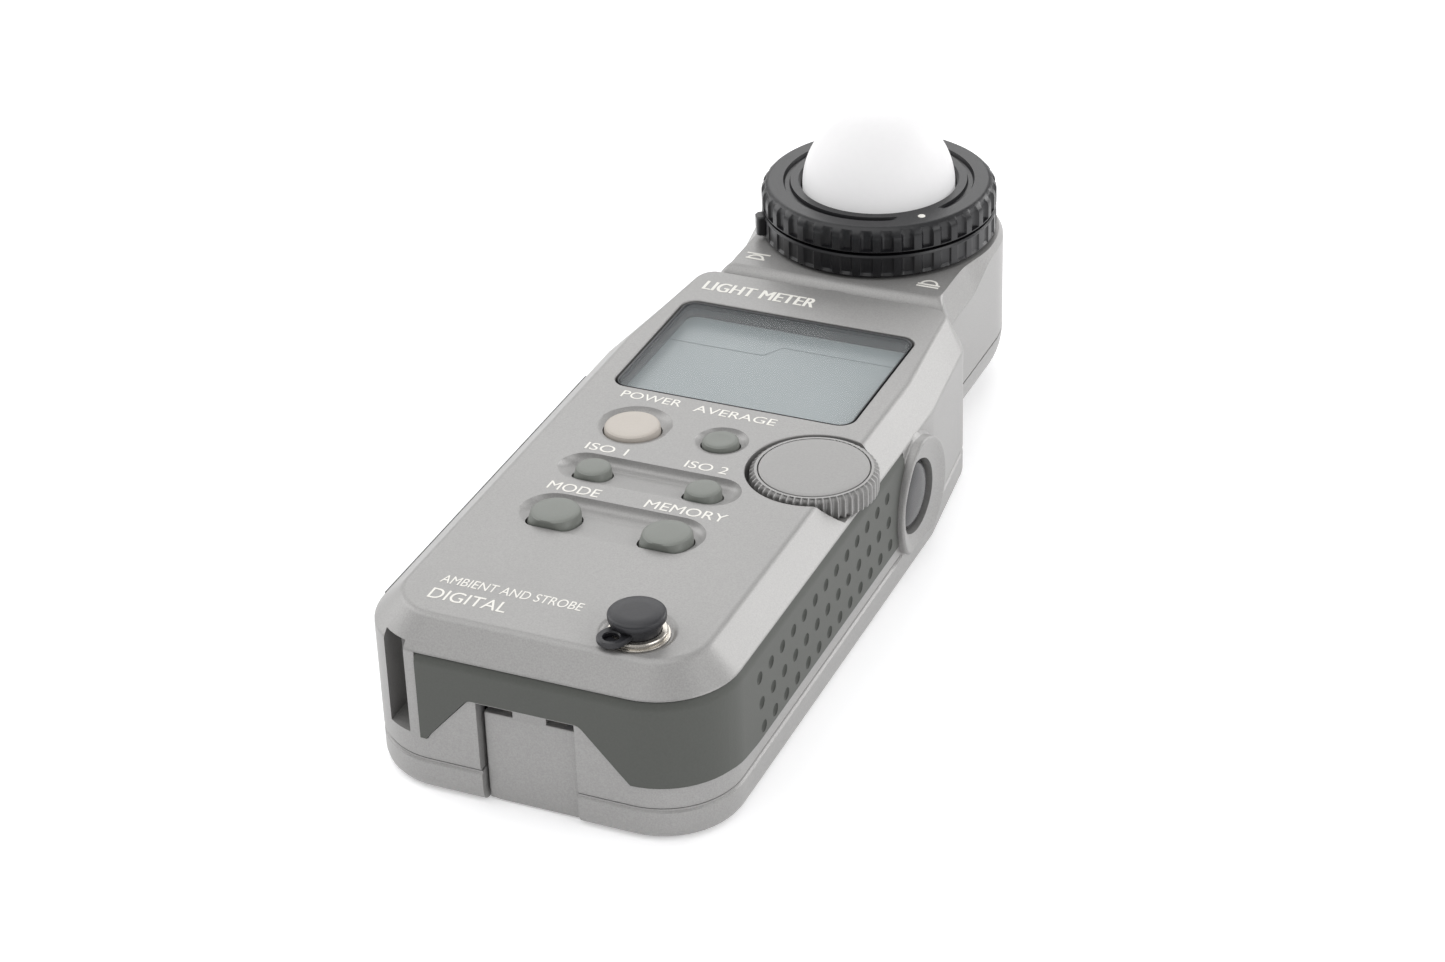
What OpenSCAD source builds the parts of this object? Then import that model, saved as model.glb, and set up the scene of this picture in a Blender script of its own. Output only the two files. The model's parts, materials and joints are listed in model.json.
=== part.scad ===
// Handheld exposure meter with a swivelling head, lying on its back.
// Origin: mouth of the tripod socket, in the middle of the rear face.
// +Y runs towards the head, +X to the right and +Z out of the front face.

/* [Body] */
// Width of the body across its two sides
body_w = 56; // [54:0.5:60]
// Length of the body without the head
body_l = 114; // [112:0.5:120]
// Thickness from the rear face to the front face
body_h = 27.7; // [27.5:0.1:28.5]
// Radius of the two lower corners, seen from the front
lower_corner_r = 12; // [10:0.5:14]
// Radius of the two upper corners, seen from the front
upper_corner_r = 7; // [6:0.5:8]
// How much each shoulder narrows towards the head
shoulder_taper = 2; // [0.5:0.5:3]
// Width of the sloping edge around the front face
chamfer_w = 4.3; // [3.5:0.1:4.5]
// Depth of the sloping edge around the front face
chamfer_h = 4.1; // [3.5:0.1:4.4]
// Wall thickness of the body shells
wall = 2.6; // [2.5:0.1:2.8]
// Height of the joint between the front shell and the rear cover
rear_seam_z = 5.5; // [5.3:0.1:5.8]

/* [Grips] */
// Depth of the rubber grips in the shell
grip_depth = 1.4; // [1:0.1:1.6]
// How far the rubber stands out of the shell
grip_proud = 0.3; // [0.1:0.1:0.5]
// Height of the lower edge of the rubber
grip_z0 = 8; // [7.8:0.1:9]
// End of the right grip, at the side button
grip_end_y = 18.5; // [16:0.5:20]

/* [Display] */
// Width of the display window
window_w = 40; // [36:0.5:41]
// Height of the display window
window_l = 29.6; // [26:0.2:31]
// Place of the middle of the window along the body
window_y = 31.3; // [30:0.1:32]

/* [Controls] */
// Radius of the power button
power_r = 4.4; // [4:0.1:4.6]
// Radius of the average button
average_r = 2.9; // [2.5:0.1:3.2]
// Radius of the two speed buttons
speed_r = 2.8; // [2.5:0.1:3.1]
// Radius of the mode and memory buttons
mode_r = 3.85; // [3.5:0.05:4.1]
// Travel of the front buttons
button_travel = 0.6; // [0.4:0.1:0.6]
// Radius of the setting wheel over its teeth
jog_r = 9.8; // [9.5:0.1:10]
// Number of teeth on the setting wheel
jog_teeth = 54; // [40:1:60]
// Radius of the measuring button on the side
measure_r = 5.8; // [5:0.1:5.9]

/* [Head] */
// Place of the receptor axis along the body
receptor_y = 81.3; // [81:0.1:83]
// Radius of the round end of the head
head_r = 21; // [20.4:0.1:21.6]
// Radius of the two black rings
ring_r = 19.8; // [19:0.1:20]
// Radius of the light dome
dome_r = 12.85; // [12:0.05:13]
// How far the dome draws into its ring
dome_travel = 12; // [8:0.5:12]
// Number of grip grooves around each ring
ring_grooves = 36; // [24:1:40]

/* [Hidden] */
$fn = 64;

arc_steps = 10;
cut = 1;
half_w = body_w / 2;
half_l = body_l / 2;
rear_cover_top = rear_seam_z - 0.1;
front_seam_z = body_h - chamfer_h;
plate_under_z = body_h - 2;
shoulder_y = 32;

// grips
right_grip_x0 = -17;
left_grip_y = [-44, 24];
grip_gap = 0.1;
grip_bottom_z = grip_z0 + grip_gap / 2;
grip_top_z = front_seam_z - grip_gap / 2;
tab_surround_x = [-15.6, -8.6, 8.2, 15.6];
tab_surround_z = 17.4;

// battery compartment
tab_w = 14.6;
tab_top_z = 15.2;
tab_tongue_z = 16.7;
tab_tongue_w = 5.2;
tab_opening_z = 17.2;
tab_outer_y = -55.8;
tab_inner_y = -54.2;
door_half_w = 10;
door_wide_y = -53;
door_z = [0.15, 2];
hinge_y = -16.8;
hinge_z = 2.1;
hinge_pin_r = 0.7;
knuckle_r = 1.5;
knuckle_half_w = 6;
door_gap = 0.2;
hinge_room = 2.4;
battery_r = 8.4;
battery_z = 10.8;
battery_y = [-53.6, -19.1];
battery_button_r = 2.8;
box_half_w = 10.1;
box_y = [-54.1, -16.5];
box_z0 = 4.2;
contact_half_w = 5;
contact_z = [6, 16];
contact_t = 0.4;
spring_r = [2.2, 4.2];

// strap eyelet in the lower left corner
strap_slot_x = [-22.8, -18.8];
strap_side_y = [-50, -46.5];
strap_z = [9.5, 24.4];
strap_block = [-17.1, -44.9];

// screw posts
post_r = 2.8;
post_places = [[-20.5, 50.8], [20.5, 50.8], [21.5, -38], [-21.5, -38]];
screw_r = 0.95;
screw_head_r = 1.9;
screw_head_z = [0.7, 1.8];
screw_end_z = 14;
screw_hole_z = 16;

// boards
board_z = [20, 21.4];
switch_top_z = 22.7;

// display
display_z = 23.9;
display_top_z = 25.1;
glass_z = [26.6, 27.4];

// front buttons: place and radius
power_at = [-11.1, 4.8];
average_at = [3.4, 5.3];
speed_1_at = [-11.2, -9];
speed_2_at = [6.8, -9];
mode_at = [-11, -22.6];
memory_at = [7, -22.6];
button_gap = 0.2;
button_floor_z = 24.6;
button_flange_h = 0.8;
button_edge = 0.5;
button_flange_w = 0.7;
button_stem_r = 1.2;
button_stem_z = switch_top_z + button_travel + 0.05;
round_top_z = 28.3;
speed_top_z = 28.5;
mode_top_z = 28.7;
speed_flat = 2.5;
mode_flat = 3.5;
dish_depth = 0.7;
power_dish_r = 5.7;
average_dish_r = 4.1;
speed_groove_r = 4.1;
speed_groove_y = -8.4;
mode_groove_r = 5.2;
mode_groove_y = -21.8;
groove_x = [-17.2, 12.4];
switch_half_w = 2.1;
switch_dome_r = 1.1;

// setting wheel
jog_at = [19.8, 2.7];
jog_recess_r = 10.5;
jog_floor_z = 24.1;
jog_z = [24.3, 28.1];
jog_inlay_r = 8.4;
jog_inlay_t = 0.9;
jog_edge = 0.4;
jog_tooth_r = 0.36;
jog_axle_r = 1.5;
jog_axle_z = [21.9, 26.3];
encoder_x = [14.8, 24.4];
encoder_y = [-1.3, 6.7];

// measuring button and its boss
measure_at = [22, 14];
boss_crest_r = 9.8;
boss_base_r = 11;
boss_x = 30.2;
boss_edge_at = [29.3, 12];
boss_edge_r = 13.7;
measure_gap = 0.2;
measure_x = [26.3, 29.6];
measure_dome_r = 14;
measure_stem_r = 1.3;
measure_switch_x = [19, 22.3];

// sync terminal
sync_at = [13.2, -46.6];
sync_r = 4.3;
sync_recess_r = 5.8;
sync_z = [20.2, 28.2];
sync_cap_r = 4.2;
sync_cap_z = [29.9, 31.2];
sync_wall = 1;
sync_recess_depth = 0.6;
sync_insulator_z = 23;
sync_pin_r = 0.6;
sync_pin_z = 25.5;
sync_plug_z = 25.9;
tether_z = [28.35, 29.25];
tether_eye = [-2, -4.2];
tether_r = 2.4;
tether_hole_r = 1.2;

// tripod socket, for a quarter inch screw
tripod_bore_r = 3.175;
tripod_r = 4.6;
tripod_l = 8;
tripod_boss_r = 6.2;
tripod_boss_z = [1, 8.6];

// head and its swivel
head_start_y = half_l + 0.6;
head_half_w = 20.4;
head_seam_z = 9.4;
head_base_z = 1.2;
head_wall = 1.9;
head_edge = 0.8;
head_slope = 36;
head_post_r = [2, 2.4];
head_screw_r = 0.7;
head_screw_head_r = 1.4;
head_screw_z = [4.9, 6, 14];
swivel_z = 14.6;
swivel_r = 4.6;
swivel_bore_r = 3.4;
running_gap = 0.05;
seat_gap = 0.02;
tube_y = [half_l - wall - 2.6, head_start_y + 4.5];
nut_r = 6.6;
nut_t = 2.1;
washer_r = 8.2;
collar_r = 7;
collar_t = 1.8;
sleeve_r = [13.3, 14.4];
carrier_z = 31;
sleeve_z = [carrier_z - dome_travel - 2, 35.4];
sleeve_flange_z = [24.2, 25.6];
sleeve_flange_r = 15.6;
head_post_places = [[-14.5, 63.5], [14.5, 63.5], [-11, 95.8], [11, 95.8]];

// rings and dome
lock_ring_z = [28.2, 32.1];
retract_ring_z = [32.5, 36.8];
ring_bore_r = 14.6;
ring_lip_r = 13.2;
ring_lip_z = 35.6;
ring_slope = [1.2, 1];
ring_groove_r = 0.65;
ring_channel_r = [15, 16];
ring_channel_depth = 0.4;
lug_angle = 212;
lug_half_w = 1.3;
lug_z = 28.6;
dome_z = 36;
dome_wall = 1.2;
dome_skirt_z = 34.4;
sensor_r = 4.5;
sensor_h = 1.4;
sensor_board_r = 13.8;
sensor_board_h = 1.4;

// Points of an arc from angle a0 to angle a1 about a centre
function arc(centre, r, a0, a1) = [
    for (i = [0 : arc_steps])
        let (a = a0 + (a1 - a0) * i / arc_steps)
        centre + r * [cos(a), sin(a)]
];

// Outline of the body, drawn in by d on its sides and its lower end, and by d_top at the head end
function body_outline(d, d_top = 0) =
    let (
        w = half_w - d,
        r1 = max(lower_corner_r - d, 1),
        r2 = max(upper_corner_r - d, 1.5),
        y0 = d - half_l,
        y1 = half_l - d_top,
        w2 = w - shoulder_taper
    )
    concat(
        arc([r1 - w, y0 + r1], r1, 180, 270),
        arc([w - r1, y0 + r1], r1, 270, 360),
        [[w, shoulder_y]],
        arc([w2 - r2, y1 - r2], r2, 0, 90),
        arc([r2 - w2, y1 - r2], r2, 90, 180),
        [[-w, shoulder_y]]
    );

// Outline of the head, drawn in by d
function head_outline(d) = concat(
    [[d - head_half_w, head_start_y + d], [head_half_w - d, head_start_y + d]],
    arc([0, receptor_y], head_r - d, -20, 90),
    arc([0, receptor_y], head_r - d, 90, 200)
);

module body_slab(d, d_top, z0, z1) {
    translate([0, 0, z0])
        linear_extrude(z1 - z0)
        polygon(body_outline(d, d_top));
}

module head_slab(d, z0, z1) {
    translate([0, 0, z0])
        linear_extrude(z1 - z0)
        polygon(head_outline(d));
}

// Box from one corner to the opposite one
module block(low, high) {
    translate(low) cube(high - low);
}

// Upright cylinder between two heights
module post(at, r, z0, z1) {
    translate([at[0], at[1], z0]) cylinder(r = r, h = z1 - z0);
}

// Cylinder along Y between two places
module y_rod(x, z, r, y0, y1) {
    translate([x, y0, z]) rotate([-90, 0, 0]) cylinder(r = r, h = y1 - y0);
}

// Cylinder along X between two places
module x_rod(y, z, r, x0, x1) {
    translate([x0, y, z]) rotate([0, 90, 0]) cylinder(r = r, h = x1 - x0);
}

// Upright tube between two heights
module tube(at, r_out, r_in, z0, z1) {
    difference() {
        post(at, r_out, z0, z1);
        post(at, r_in, z0 - cut, z1 + cut);
    }
}

// Rounded rectangle of a given size about a centre
module rounded_plate(at, w, l, r, z0, z1) {
    translate([at[0], at[1], z0])
        linear_extrude(z1 - z0)
        union() {
            square([w - 2 * r, l], center = true);
            square([w, l - 2 * r], center = true);
            for (x = [-1, 1])
                for (y = [-1, 1])
                    translate([x * (w / 2 - r), y * (l / 2 - r)]) circle(r);
        }
}

// Long groove with round ends
module groove(x, y, r, z0, z1) {
    post([x[0] + r, y], r, z0, z1);
    post([x[1] - r, y], r, z0, z1);
    block([x[0] + r, y - r, z0], [x[1] - r, y + r, z1]);
}

// Ring of upright cutters
module ring_of_cutters(at, radius, r, count, z0, z1) {
    for (i = [0 : count - 1])
        post(at + radius * [cos(i * 360 / count), sin(i * 360 / count)], r, z0, z1);
}

// Light shell around the battery tab that the right grip leaves free
module tab_surround(gap) {
    translate([0, -half_l + 4, 0])
        rotate([90, 0, 0])
        linear_extrude(6)
        polygon([
            [tab_surround_x[0] - gap, grip_z0 - cut],
            [tab_surround_x[0] - gap, grip_z0],
            [tab_surround_x[1] - gap, tab_surround_z + gap],
            [tab_surround_x[2] + gap, tab_surround_z + gap],
            [tab_surround_x[3] + gap, grip_z0],
            [tab_surround_x[3] + gap, grip_z0 - cut]
        ]);
}

// Space of the right grip, between two insets of the outline
module right_grip_space(outer, inner, z0, z1, gap) {
    difference() {
        intersection() {
            difference() {
                body_slab(outer, outer, z0, z1);
                body_slab(inner, inner, z0 - cut, z1 + cut);
            }
            block([right_grip_x0 + gap, -half_l - 2, 0], [half_w + 2, grip_end_y - gap, body_h]);
        }
        tab_surround(gap);
        x_rod(boss_edge_at[0], boss_edge_at[1], boss_edge_r + gap, 0, half_w + 5);
    }
}

// Space of the left grip, between two insets of the outline
module left_grip_space(outer, inner, z0, z1, gap) {
    intersection() {
        difference() {
            body_slab(outer, outer, z0, z1);
            body_slab(inner, inner, z0 - cut, z1 + cut);
        }
        block([-half_w - 2, left_grip_y[0] + gap, 0], [-half_w + 4, left_grip_y[1] - gap, body_h]);
    }
}

module front_shell_outside() {
    body_slab(0, 0, rear_seam_z, front_seam_z);
    hull() {
        body_slab(0, 0, front_seam_z - 0.1, front_seam_z);
        body_slab(chamfer_w, 0, body_h - 0.1, body_h);
    }
    intersection() {
        translate([half_w - 3, measure_at[0], measure_at[1]])
            rotate([0, 90, 0])
            cylinder(r1 = boss_base_r + 0.6, r2 = boss_crest_r, h = boss_x - half_w + 3);
        block([0, -half_l, rear_seam_z], [half_w + 5, half_l, body_h]);
        x_rod(boss_edge_at[0], boss_edge_at[1], boss_edge_r, 0, half_w + 5);
    }
}

module front_shell_cavity() {
    body_slab(wall, wall, rear_seam_z - cut, front_seam_z - 1);
    hull() {
        body_slab(wall, wall, front_seam_z - 1.1, front_seam_z - 1);
        body_slab(wall + chamfer_w - 1, wall, plate_under_z - 0.1, plate_under_z);
    }
}

// Solid parts that stand inside the front shell
module front_shell_inside() {
    for (p = post_places)
        post(p, post_r, rear_seam_z, plate_under_z + 0.5);
    intersection() {
        post(jog_at, jog_recess_r + 1.3, jog_floor_z - 1.2, plate_under_z + 0.5);
        body_slab(wall - 0.5, wall, rear_seam_z, body_h);
    }
    intersection() {
        block([-half_w, -half_l, rear_seam_z], [strap_block[0], strap_block[1], plate_under_z + 0.5]);
        body_slab(wall - 0.5, wall, rear_seam_z, body_h);
    }
    intersection() {
        x_rod(measure_at[0], measure_at[1], measure_r + 1.6, half_w - 4, half_w - 1);
        block([0, 0, rear_seam_z], [half_w + 5, half_l, plate_under_z]);
    }
}

module button_hole(at, r) {
    post(at, r + button_gap, plate_under_z - 5, body_h + cut);
}

// Button hole whose lower edge is straight
module flat_button_hole(at, r, flat) {
    difference() {
        button_hole(at, r);
        block([at[0] - r - cut, at[1] - r - cut, plate_under_z],
            [at[0] + r + cut, at[1] - flat - button_gap, body_h + 2 * cut]);
    }
}

module front_shell() {
    color([0.68, 0.68, 0.67])
    difference() {
        union() {
            difference() {
                front_shell_outside();
                front_shell_cavity();
            }
            front_shell_inside();
        }
        // grip recesses
        right_grip_space(-1, grip_depth, grip_z0, front_seam_z, 0);
        left_grip_space(-1, grip_depth, grip_z0, front_seam_z, 0);
        // strap eyelet
        block([strap_slot_x[0], -half_l - cut, strap_z[0]],
            [strap_slot_x[1], strap_side_y[1], strap_z[1]]);
        block([-half_w - cut, strap_side_y[0], strap_z[0]],
            [strap_slot_x[1], strap_side_y[1], front_seam_z - 1]);
        // battery tab opening
        block([-tab_w / 2 - door_gap, -half_l - cut, rear_seam_z - cut],
            [tab_w / 2 + door_gap, -half_l + wall + cut, tab_opening_z]);
        // display
        rounded_plate([0, window_y], window_w, window_l, 2.5, plate_under_z - cut, body_h + cut);
        // front buttons
        button_hole(power_at, power_r);
        post(power_at, power_dish_r, body_h - dish_depth, body_h + cut);
        button_hole(average_at, average_r);
        post(average_at, average_dish_r, body_h - dish_depth, body_h + cut);
        groove(groove_x, speed_groove_y, speed_groove_r, body_h - dish_depth, body_h + cut);
        flat_button_hole(speed_1_at, speed_r, speed_flat);
        flat_button_hole(speed_2_at, speed_r, speed_flat);
        groove(groove_x, mode_groove_y, mode_groove_r, body_h - dish_depth, body_h + cut);
        flat_button_hole(mode_at, mode_r, mode_flat);
        flat_button_hole(memory_at, mode_r, mode_flat);
        // setting wheel
        post(jog_at, jog_recess_r, jog_floor_z, body_h + cut);
        post(jog_at, jog_axle_r + running_gap, jog_floor_z - 3, jog_floor_z + cut);
        // measuring button
        x_rod(measure_at[0], measure_at[1], measure_r + measure_gap, half_w - 6, boss_x + cut);
        // sync terminal
        post(sync_at, sync_recess_r, body_h - sync_recess_depth, body_h + cut);
        post(sync_at, sync_r + seat_gap, plate_under_z - cut, body_h + cut);
        // swivel bore
        y_rod(0, swivel_z, swivel_r + running_gap, half_l - wall - cut, half_l + cut);
        // screw holes
        for (p = post_places)
            post(p, screw_r, rear_seam_z - cut, screw_hole_z);
    }
}

// Two lugs that hold the hinge pin
module hinge_lugs() {
    x_rod(hinge_y, hinge_z, knuckle_r, -door_half_w - cut, -knuckle_half_w - door_gap);
    x_rod(hinge_y, hinge_z, knuckle_r, knuckle_half_w + door_gap, door_half_w + cut);
}

module rear_cover() {
    color([0.66, 0.66, 0.65])
    difference() {
        union() {
            difference() {
                hull() {
                    body_slab(0, 0, 1.8, rear_cover_top);
                    body_slab(0.6, 0.6, 0.7, 1.8);
                    body_slab(1.8, 1.8, 0, 0.7);
                }
                body_slab(wall, wall, 2, rear_cover_top + cut);
            }
            post([0, 0], tripod_boss_r, tripod_boss_z[0], tripod_boss_z[1]);
            for (p = post_places)
                post(p, screw_head_r + 1, 1, rear_cover_top);
            hinge_lugs();
        }
        // door opening, around the hinge lugs
        difference() {
            union() {
                block([-tab_w / 2 - door_gap, -half_l - cut, -cut],
                    [tab_w / 2 + door_gap, door_wide_y, rear_seam_z + cut]);
                block([-door_half_w - door_gap, door_wide_y - door_gap, -cut],
                    [door_half_w + door_gap, hinge_y + hinge_room, rear_seam_z]);
            }
            hinge_lugs();
        }
        x_rod(hinge_y, hinge_z, hinge_pin_r, -door_half_w, door_half_w);
        post([0, 0], tripod_r + seat_gap, -cut, tripod_boss_z[1] + cut);
        for (p = post_places) {
            post(p, screw_r + 0.15, -cut, rear_seam_z + cut);
            post(p, screw_head_r + 0.2, -cut, screw_head_z[1]);
        }
    }
}

module right_grip() {
    color([0.37, 0.38, 0.37])
    right_grip_space(-grip_proud, grip_depth, grip_bottom_z, grip_top_z, grip_gap);
}

module left_grip() {
    color([0.37, 0.38, 0.37])
    left_grip_space(-grip_proud, grip_depth, grip_bottom_z, grip_top_z, grip_gap);
}

module display_window() {
    color([0.75, 0.8, 0.82, 0.4])
    rounded_plate([0, window_y], window_w - 0.2, window_l - 0.2, 2.4, glass_z[0], glass_z[1]);
}

module display_bezel() {
    color([0.3, 0.31, 0.32])
    difference() {
        union() {
            rounded_plate([0, window_y], window_w + 1.6, window_l + 1.8, 3, display_top_z, plate_under_z);
            rounded_plate([0, window_y], window_w - 0.1, window_l - 0.1, 2.45, display_top_z, glass_z[0]);
        }
        rounded_plate([0, window_y], window_w - 1.6, window_l - 1.6, 1.8, display_z, body_h);
    }
}

module display_panel() {
    color([0.62, 0.67, 0.68])
    block([-window_w / 2, window_y - window_l / 2 - 0.3, display_z],
        [window_w / 2, window_y + window_l / 2 + 0.3, display_top_z]);
}

module display_backlight() {
    color([0.9, 0.9, 0.86])
    block([-window_w / 2 + 1, window_y - window_l / 2 + 1.5, display_z - 0.7],
        [window_w / 2 - 1, window_y + window_l / 2 - 1.5, display_z]);
}

module display_connectors() {
    color([0.85, 0.7, 0.75])
    for (s = [-1, 1])
        translate([-window_w / 2 + 1, window_y + s * (window_l / 2 - 0.6) - 0.6, board_z[1]])
        cube([window_w - 2, 1.2, display_z - board_z[1]]);
}

module main_board() {
    color([0.1, 0.35, 0.2])
    difference() {
        body_slab(wall + 0.6, wall + 1.5, board_z[0], board_z[1]);
        for (p = post_places)
            post(p, post_r + 0.3, board_z[0] - cut, board_z[1] + cut);
        block([-half_w, -half_l, board_z[0] - cut],
            [strap_block[0] + 0.3, strap_block[1] + 0.3, board_z[1] + cut]);
        post(sync_at, sync_r + 0.4, board_z[0] - cut, board_z[1] + cut);
        block([half_w - 6, measure_at[0] - 9, board_z[0] - cut],
            [half_w, measure_at[0] + 9, board_z[1] + cut]);
        y_rod(0, swivel_z, 8, half_l - wall - 3, half_l);
    }
}

module button_switches() {
    color([0.75, 0.75, 0.73])
    for (p = [power_at, average_at, speed_1_at, speed_2_at, mode_at, memory_at]) {
        block([p[0] - switch_half_w, p[1] - switch_half_w, board_z[1]],
            [p[0] + switch_half_w, p[1] + switch_half_w, switch_top_z - 0.5]);
        post(p, switch_dome_r, board_z[1], switch_top_z);
    }
}

// Button with a round cap, a retaining flange and a stem
module round_button(at, r, top_z) {
    difference() {
        union() {
            post(at, r, button_floor_z, top_z - button_edge);
            translate([at[0], at[1], top_z - button_edge])
                cylinder(r1 = r, r2 = r - button_edge, h = button_edge);
        }
        translate([at[0], at[1], top_z + 5 * r]) sphere(5 * r + 0.15, $fn = 96);
    }
    post(at, r + button_flange_w, button_floor_z, button_floor_z + button_flange_h);
    post(at, button_stem_r, button_stem_z, button_floor_z + 0.4);
}

// The same, with one side of the cap cut flat
module flat_sided_button(at, r, flat, top_z) {
    difference() {
        round_button(at, r, top_z);
        block([at[0] - r, at[1] - r - cut, button_floor_z + 1], [at[0] + r, at[1] - flat, top_z + cut]);
    }
}

module power_button() {
    color([0.8, 0.78, 0.75]) round_button(power_at, power_r, round_top_z);
}

module average_button() {
    color([0.57, 0.58, 0.56]) round_button(average_at, average_r, round_top_z);
}

module speed_1_button() {
    color([0.57, 0.58, 0.56]) flat_sided_button(speed_1_at, speed_r, speed_flat, speed_top_z);
}

module speed_2_button() {
    color([0.57, 0.58, 0.56]) flat_sided_button(speed_2_at, speed_r, speed_flat, speed_top_z);
}

module mode_button() {
    color([0.57, 0.58, 0.56]) flat_sided_button(mode_at, mode_r, mode_flat, mode_top_z);
}

module memory_button() {
    color([0.57, 0.58, 0.56]) flat_sided_button(memory_at, mode_r, mode_flat, mode_top_z);
}

module jog_wheel() {
    color([0.7, 0.7, 0.69])
    difference() {
        union() {
            post(jog_at, jog_r, jog_z[0], jog_z[1] - jog_edge);
            translate([jog_at[0], jog_at[1], jog_z[1] - jog_edge])
                cylinder(r1 = jog_r, r2 = jog_r - jog_edge, h = jog_edge);
        }
        ring_of_cutters(jog_at, jog_r + 0.1, jog_tooth_r, jog_teeth, jog_z[0] - cut, jog_z[1] + cut);
        post(jog_at, jog_inlay_r + 0.1, jog_z[1] - jog_inlay_t, jog_z[1] + cut);
        post(jog_at, jog_axle_r, jog_z[0] - cut, jog_axle_z[1]);
    }
}

module jog_inlay() {
    color([0.67, 0.67, 0.66])
    post(jog_at, jog_inlay_r, jog_z[1] - jog_inlay_t, jog_z[1] + 0.1);
}

module jog_axle() {
    color([0.75, 0.75, 0.76])
    post(jog_at, jog_axle_r, jog_axle_z[0], jog_axle_z[1]);
}

module jog_encoder() {
    color([0.2, 0.2, 0.22])
    difference() {
        block([encoder_x[0], encoder_y[0], board_z[1]], [encoder_x[1], encoder_y[1], switch_top_z]);
        post(jog_at, jog_axle_r + running_gap, board_z[1] + 0.3, switch_top_z + cut);
    }
}

module measuring_button() {
    color([0.08, 0.08, 0.09])
    intersection() {
        union() {
            x_rod(measure_at[0], measure_at[1], measure_r, measure_x[0], measure_x[1]);
            x_rod(measure_at[0], measure_at[1], measure_stem_r, half_w - 5, measure_x[0] + 1);
        }
        translate([measure_x[1] - measure_dome_r, measure_at[0], measure_at[1]])
            sphere(measure_dome_r, $fn = 128);
    }
}

module measuring_switch() {
    color([0.75, 0.75, 0.73])
    difference() {
        block([measure_switch_x[0], measure_at[0] - 3, measure_at[1] - 3],
            [measure_switch_x[1], measure_at[0] + 3, board_z[0]]);
        block([measure_switch_x[0] - cut, measure_at[0] - 4, measure_at[1] + 3.2],
            [measure_switch_x[0] + 1.2, measure_at[0] + 4, board_z[0] - 0.6]);
    }
}

module sync_barrel() {
    color([0.78, 0.77, 0.74])
    tube(sync_at, sync_r, sync_r - sync_wall, sync_z[0], sync_z[1]);
}

module sync_insulator() {
    color([0.9, 0.9, 0.88])
    tube(sync_at, sync_r - sync_wall, sync_pin_r, sync_z[0], sync_insulator_z);
}

module sync_pin() {
    color([0.82, 0.7, 0.4])
    post(sync_at, sync_pin_r, sync_z[0] - 0.1, sync_pin_z);
}

module sync_cap() {
    color([0.16, 0.16, 0.17])
    difference() {
        union() {
            post(sync_at, sync_cap_r, sync_cap_z[0], sync_cap_z[1]);
            post(sync_at, sync_r - sync_wall + 0.1, sync_z[1] + 0.05, sync_cap_z[0] + 0.1);
            post(sync_at, sync_r - sync_wall - 0.1, sync_plug_z, sync_z[1] + 0.1);
            // tether with its eyelet
            hull() {
                post(sync_at + tether_eye, tether_r, tether_z[0], tether_z[1]);
                post(sync_at + tether_eye / 2, tether_r - 0.6, tether_z[0], tether_z[1]);
            }
        }
        post(sync_at + tether_eye * 1.1, tether_hole_r, tether_z[0] - 0.05, tether_z[1] + 0.3);
    }
}

module battery_cover() {
    color([0.66, 0.66, 0.65])
    difference() {
        union() {
            block([-tab_w / 2, tab_outer_y, door_z[0]], [tab_w / 2, tab_inner_y, tab_top_z]);
            block([-tab_tongue_w / 2, tab_outer_y + 0.1, tab_top_z - cut],
                [tab_tongue_w / 2, tab_inner_y, tab_tongue_z]);
            block([-tab_w / 2, tab_outer_y, door_z[0]], [tab_w / 2, door_wide_y + cut, door_z[1]]);
            block([-door_half_w, door_wide_y, door_z[0]], [door_half_w, hinge_y - 2, door_z[1]]);
            block([-knuckle_half_w, hinge_y - 3, 0.7], [knuckle_half_w, hinge_y, door_z[1]]);
            x_rod(hinge_y, hinge_z, knuckle_r, -knuckle_half_w, knuckle_half_w);
        }
        x_rod(hinge_y, hinge_z, hinge_pin_r + running_gap, -knuckle_half_w - cut, knuckle_half_w + cut);
    }
}

module cover_hinge_pin() {
    color([0.75, 0.75, 0.76])
    x_rod(hinge_y, hinge_z, hinge_pin_r, -door_half_w, door_half_w);
}

module battery_box() {
    color([0.25, 0.25, 0.26])
    difference() {
        block([-box_half_w, box_y[0], box_z0], [box_half_w, box_y[1], board_z[0]]);
        block([-battery_r - 0.6, box_y[0] - cut, box_z0 - cut],
            [battery_r + 0.6, box_y[1] + cut, battery_z + battery_r + 0.2]);
    }
}

module battery() {
    color([0.15, 0.25, 0.4])
    union() {
        y_rod(0, battery_z, battery_r, battery_y[0] + 1, battery_y[1]);
        y_rod(0, battery_z, battery_button_r, battery_y[0], battery_y[0] + 2);
    }
}

module battery_spring() {
    color([0.8, 0.8, 0.8])
    union() {
        block([-contact_half_w, box_y[1] - contact_t, contact_z[0]],
            [contact_half_w, box_y[1], contact_z[1]]);
        translate([0, battery_y[1] + 0.05, battery_z])
            rotate([-90, 0, 0])
            cylinder(r1 = spring_r[0], r2 = spring_r[1], h = box_y[1] - contact_t / 2 - battery_y[1]);
    }
}

module battery_contact() {
    color([0.8, 0.8, 0.8])
    block([-contact_half_w, box_y[0], contact_z[0]], [contact_half_w, battery_y[0] - 0.05, contact_z[1]]);
}

module tripod_insert() {
    color([0.8, 0.68, 0.4])
    tube([0, 0], tripod_r, tripod_bore_r, 0, tripod_l);
}

module case_screws() {
    color([0.5, 0.5, 0.52])
    for (p = post_places) {
        post(p, screw_r, screw_head_z[0], screw_end_z);
        post(p, screw_head_r, screw_head_z[0], screw_head_z[1]);
    }
}

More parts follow.
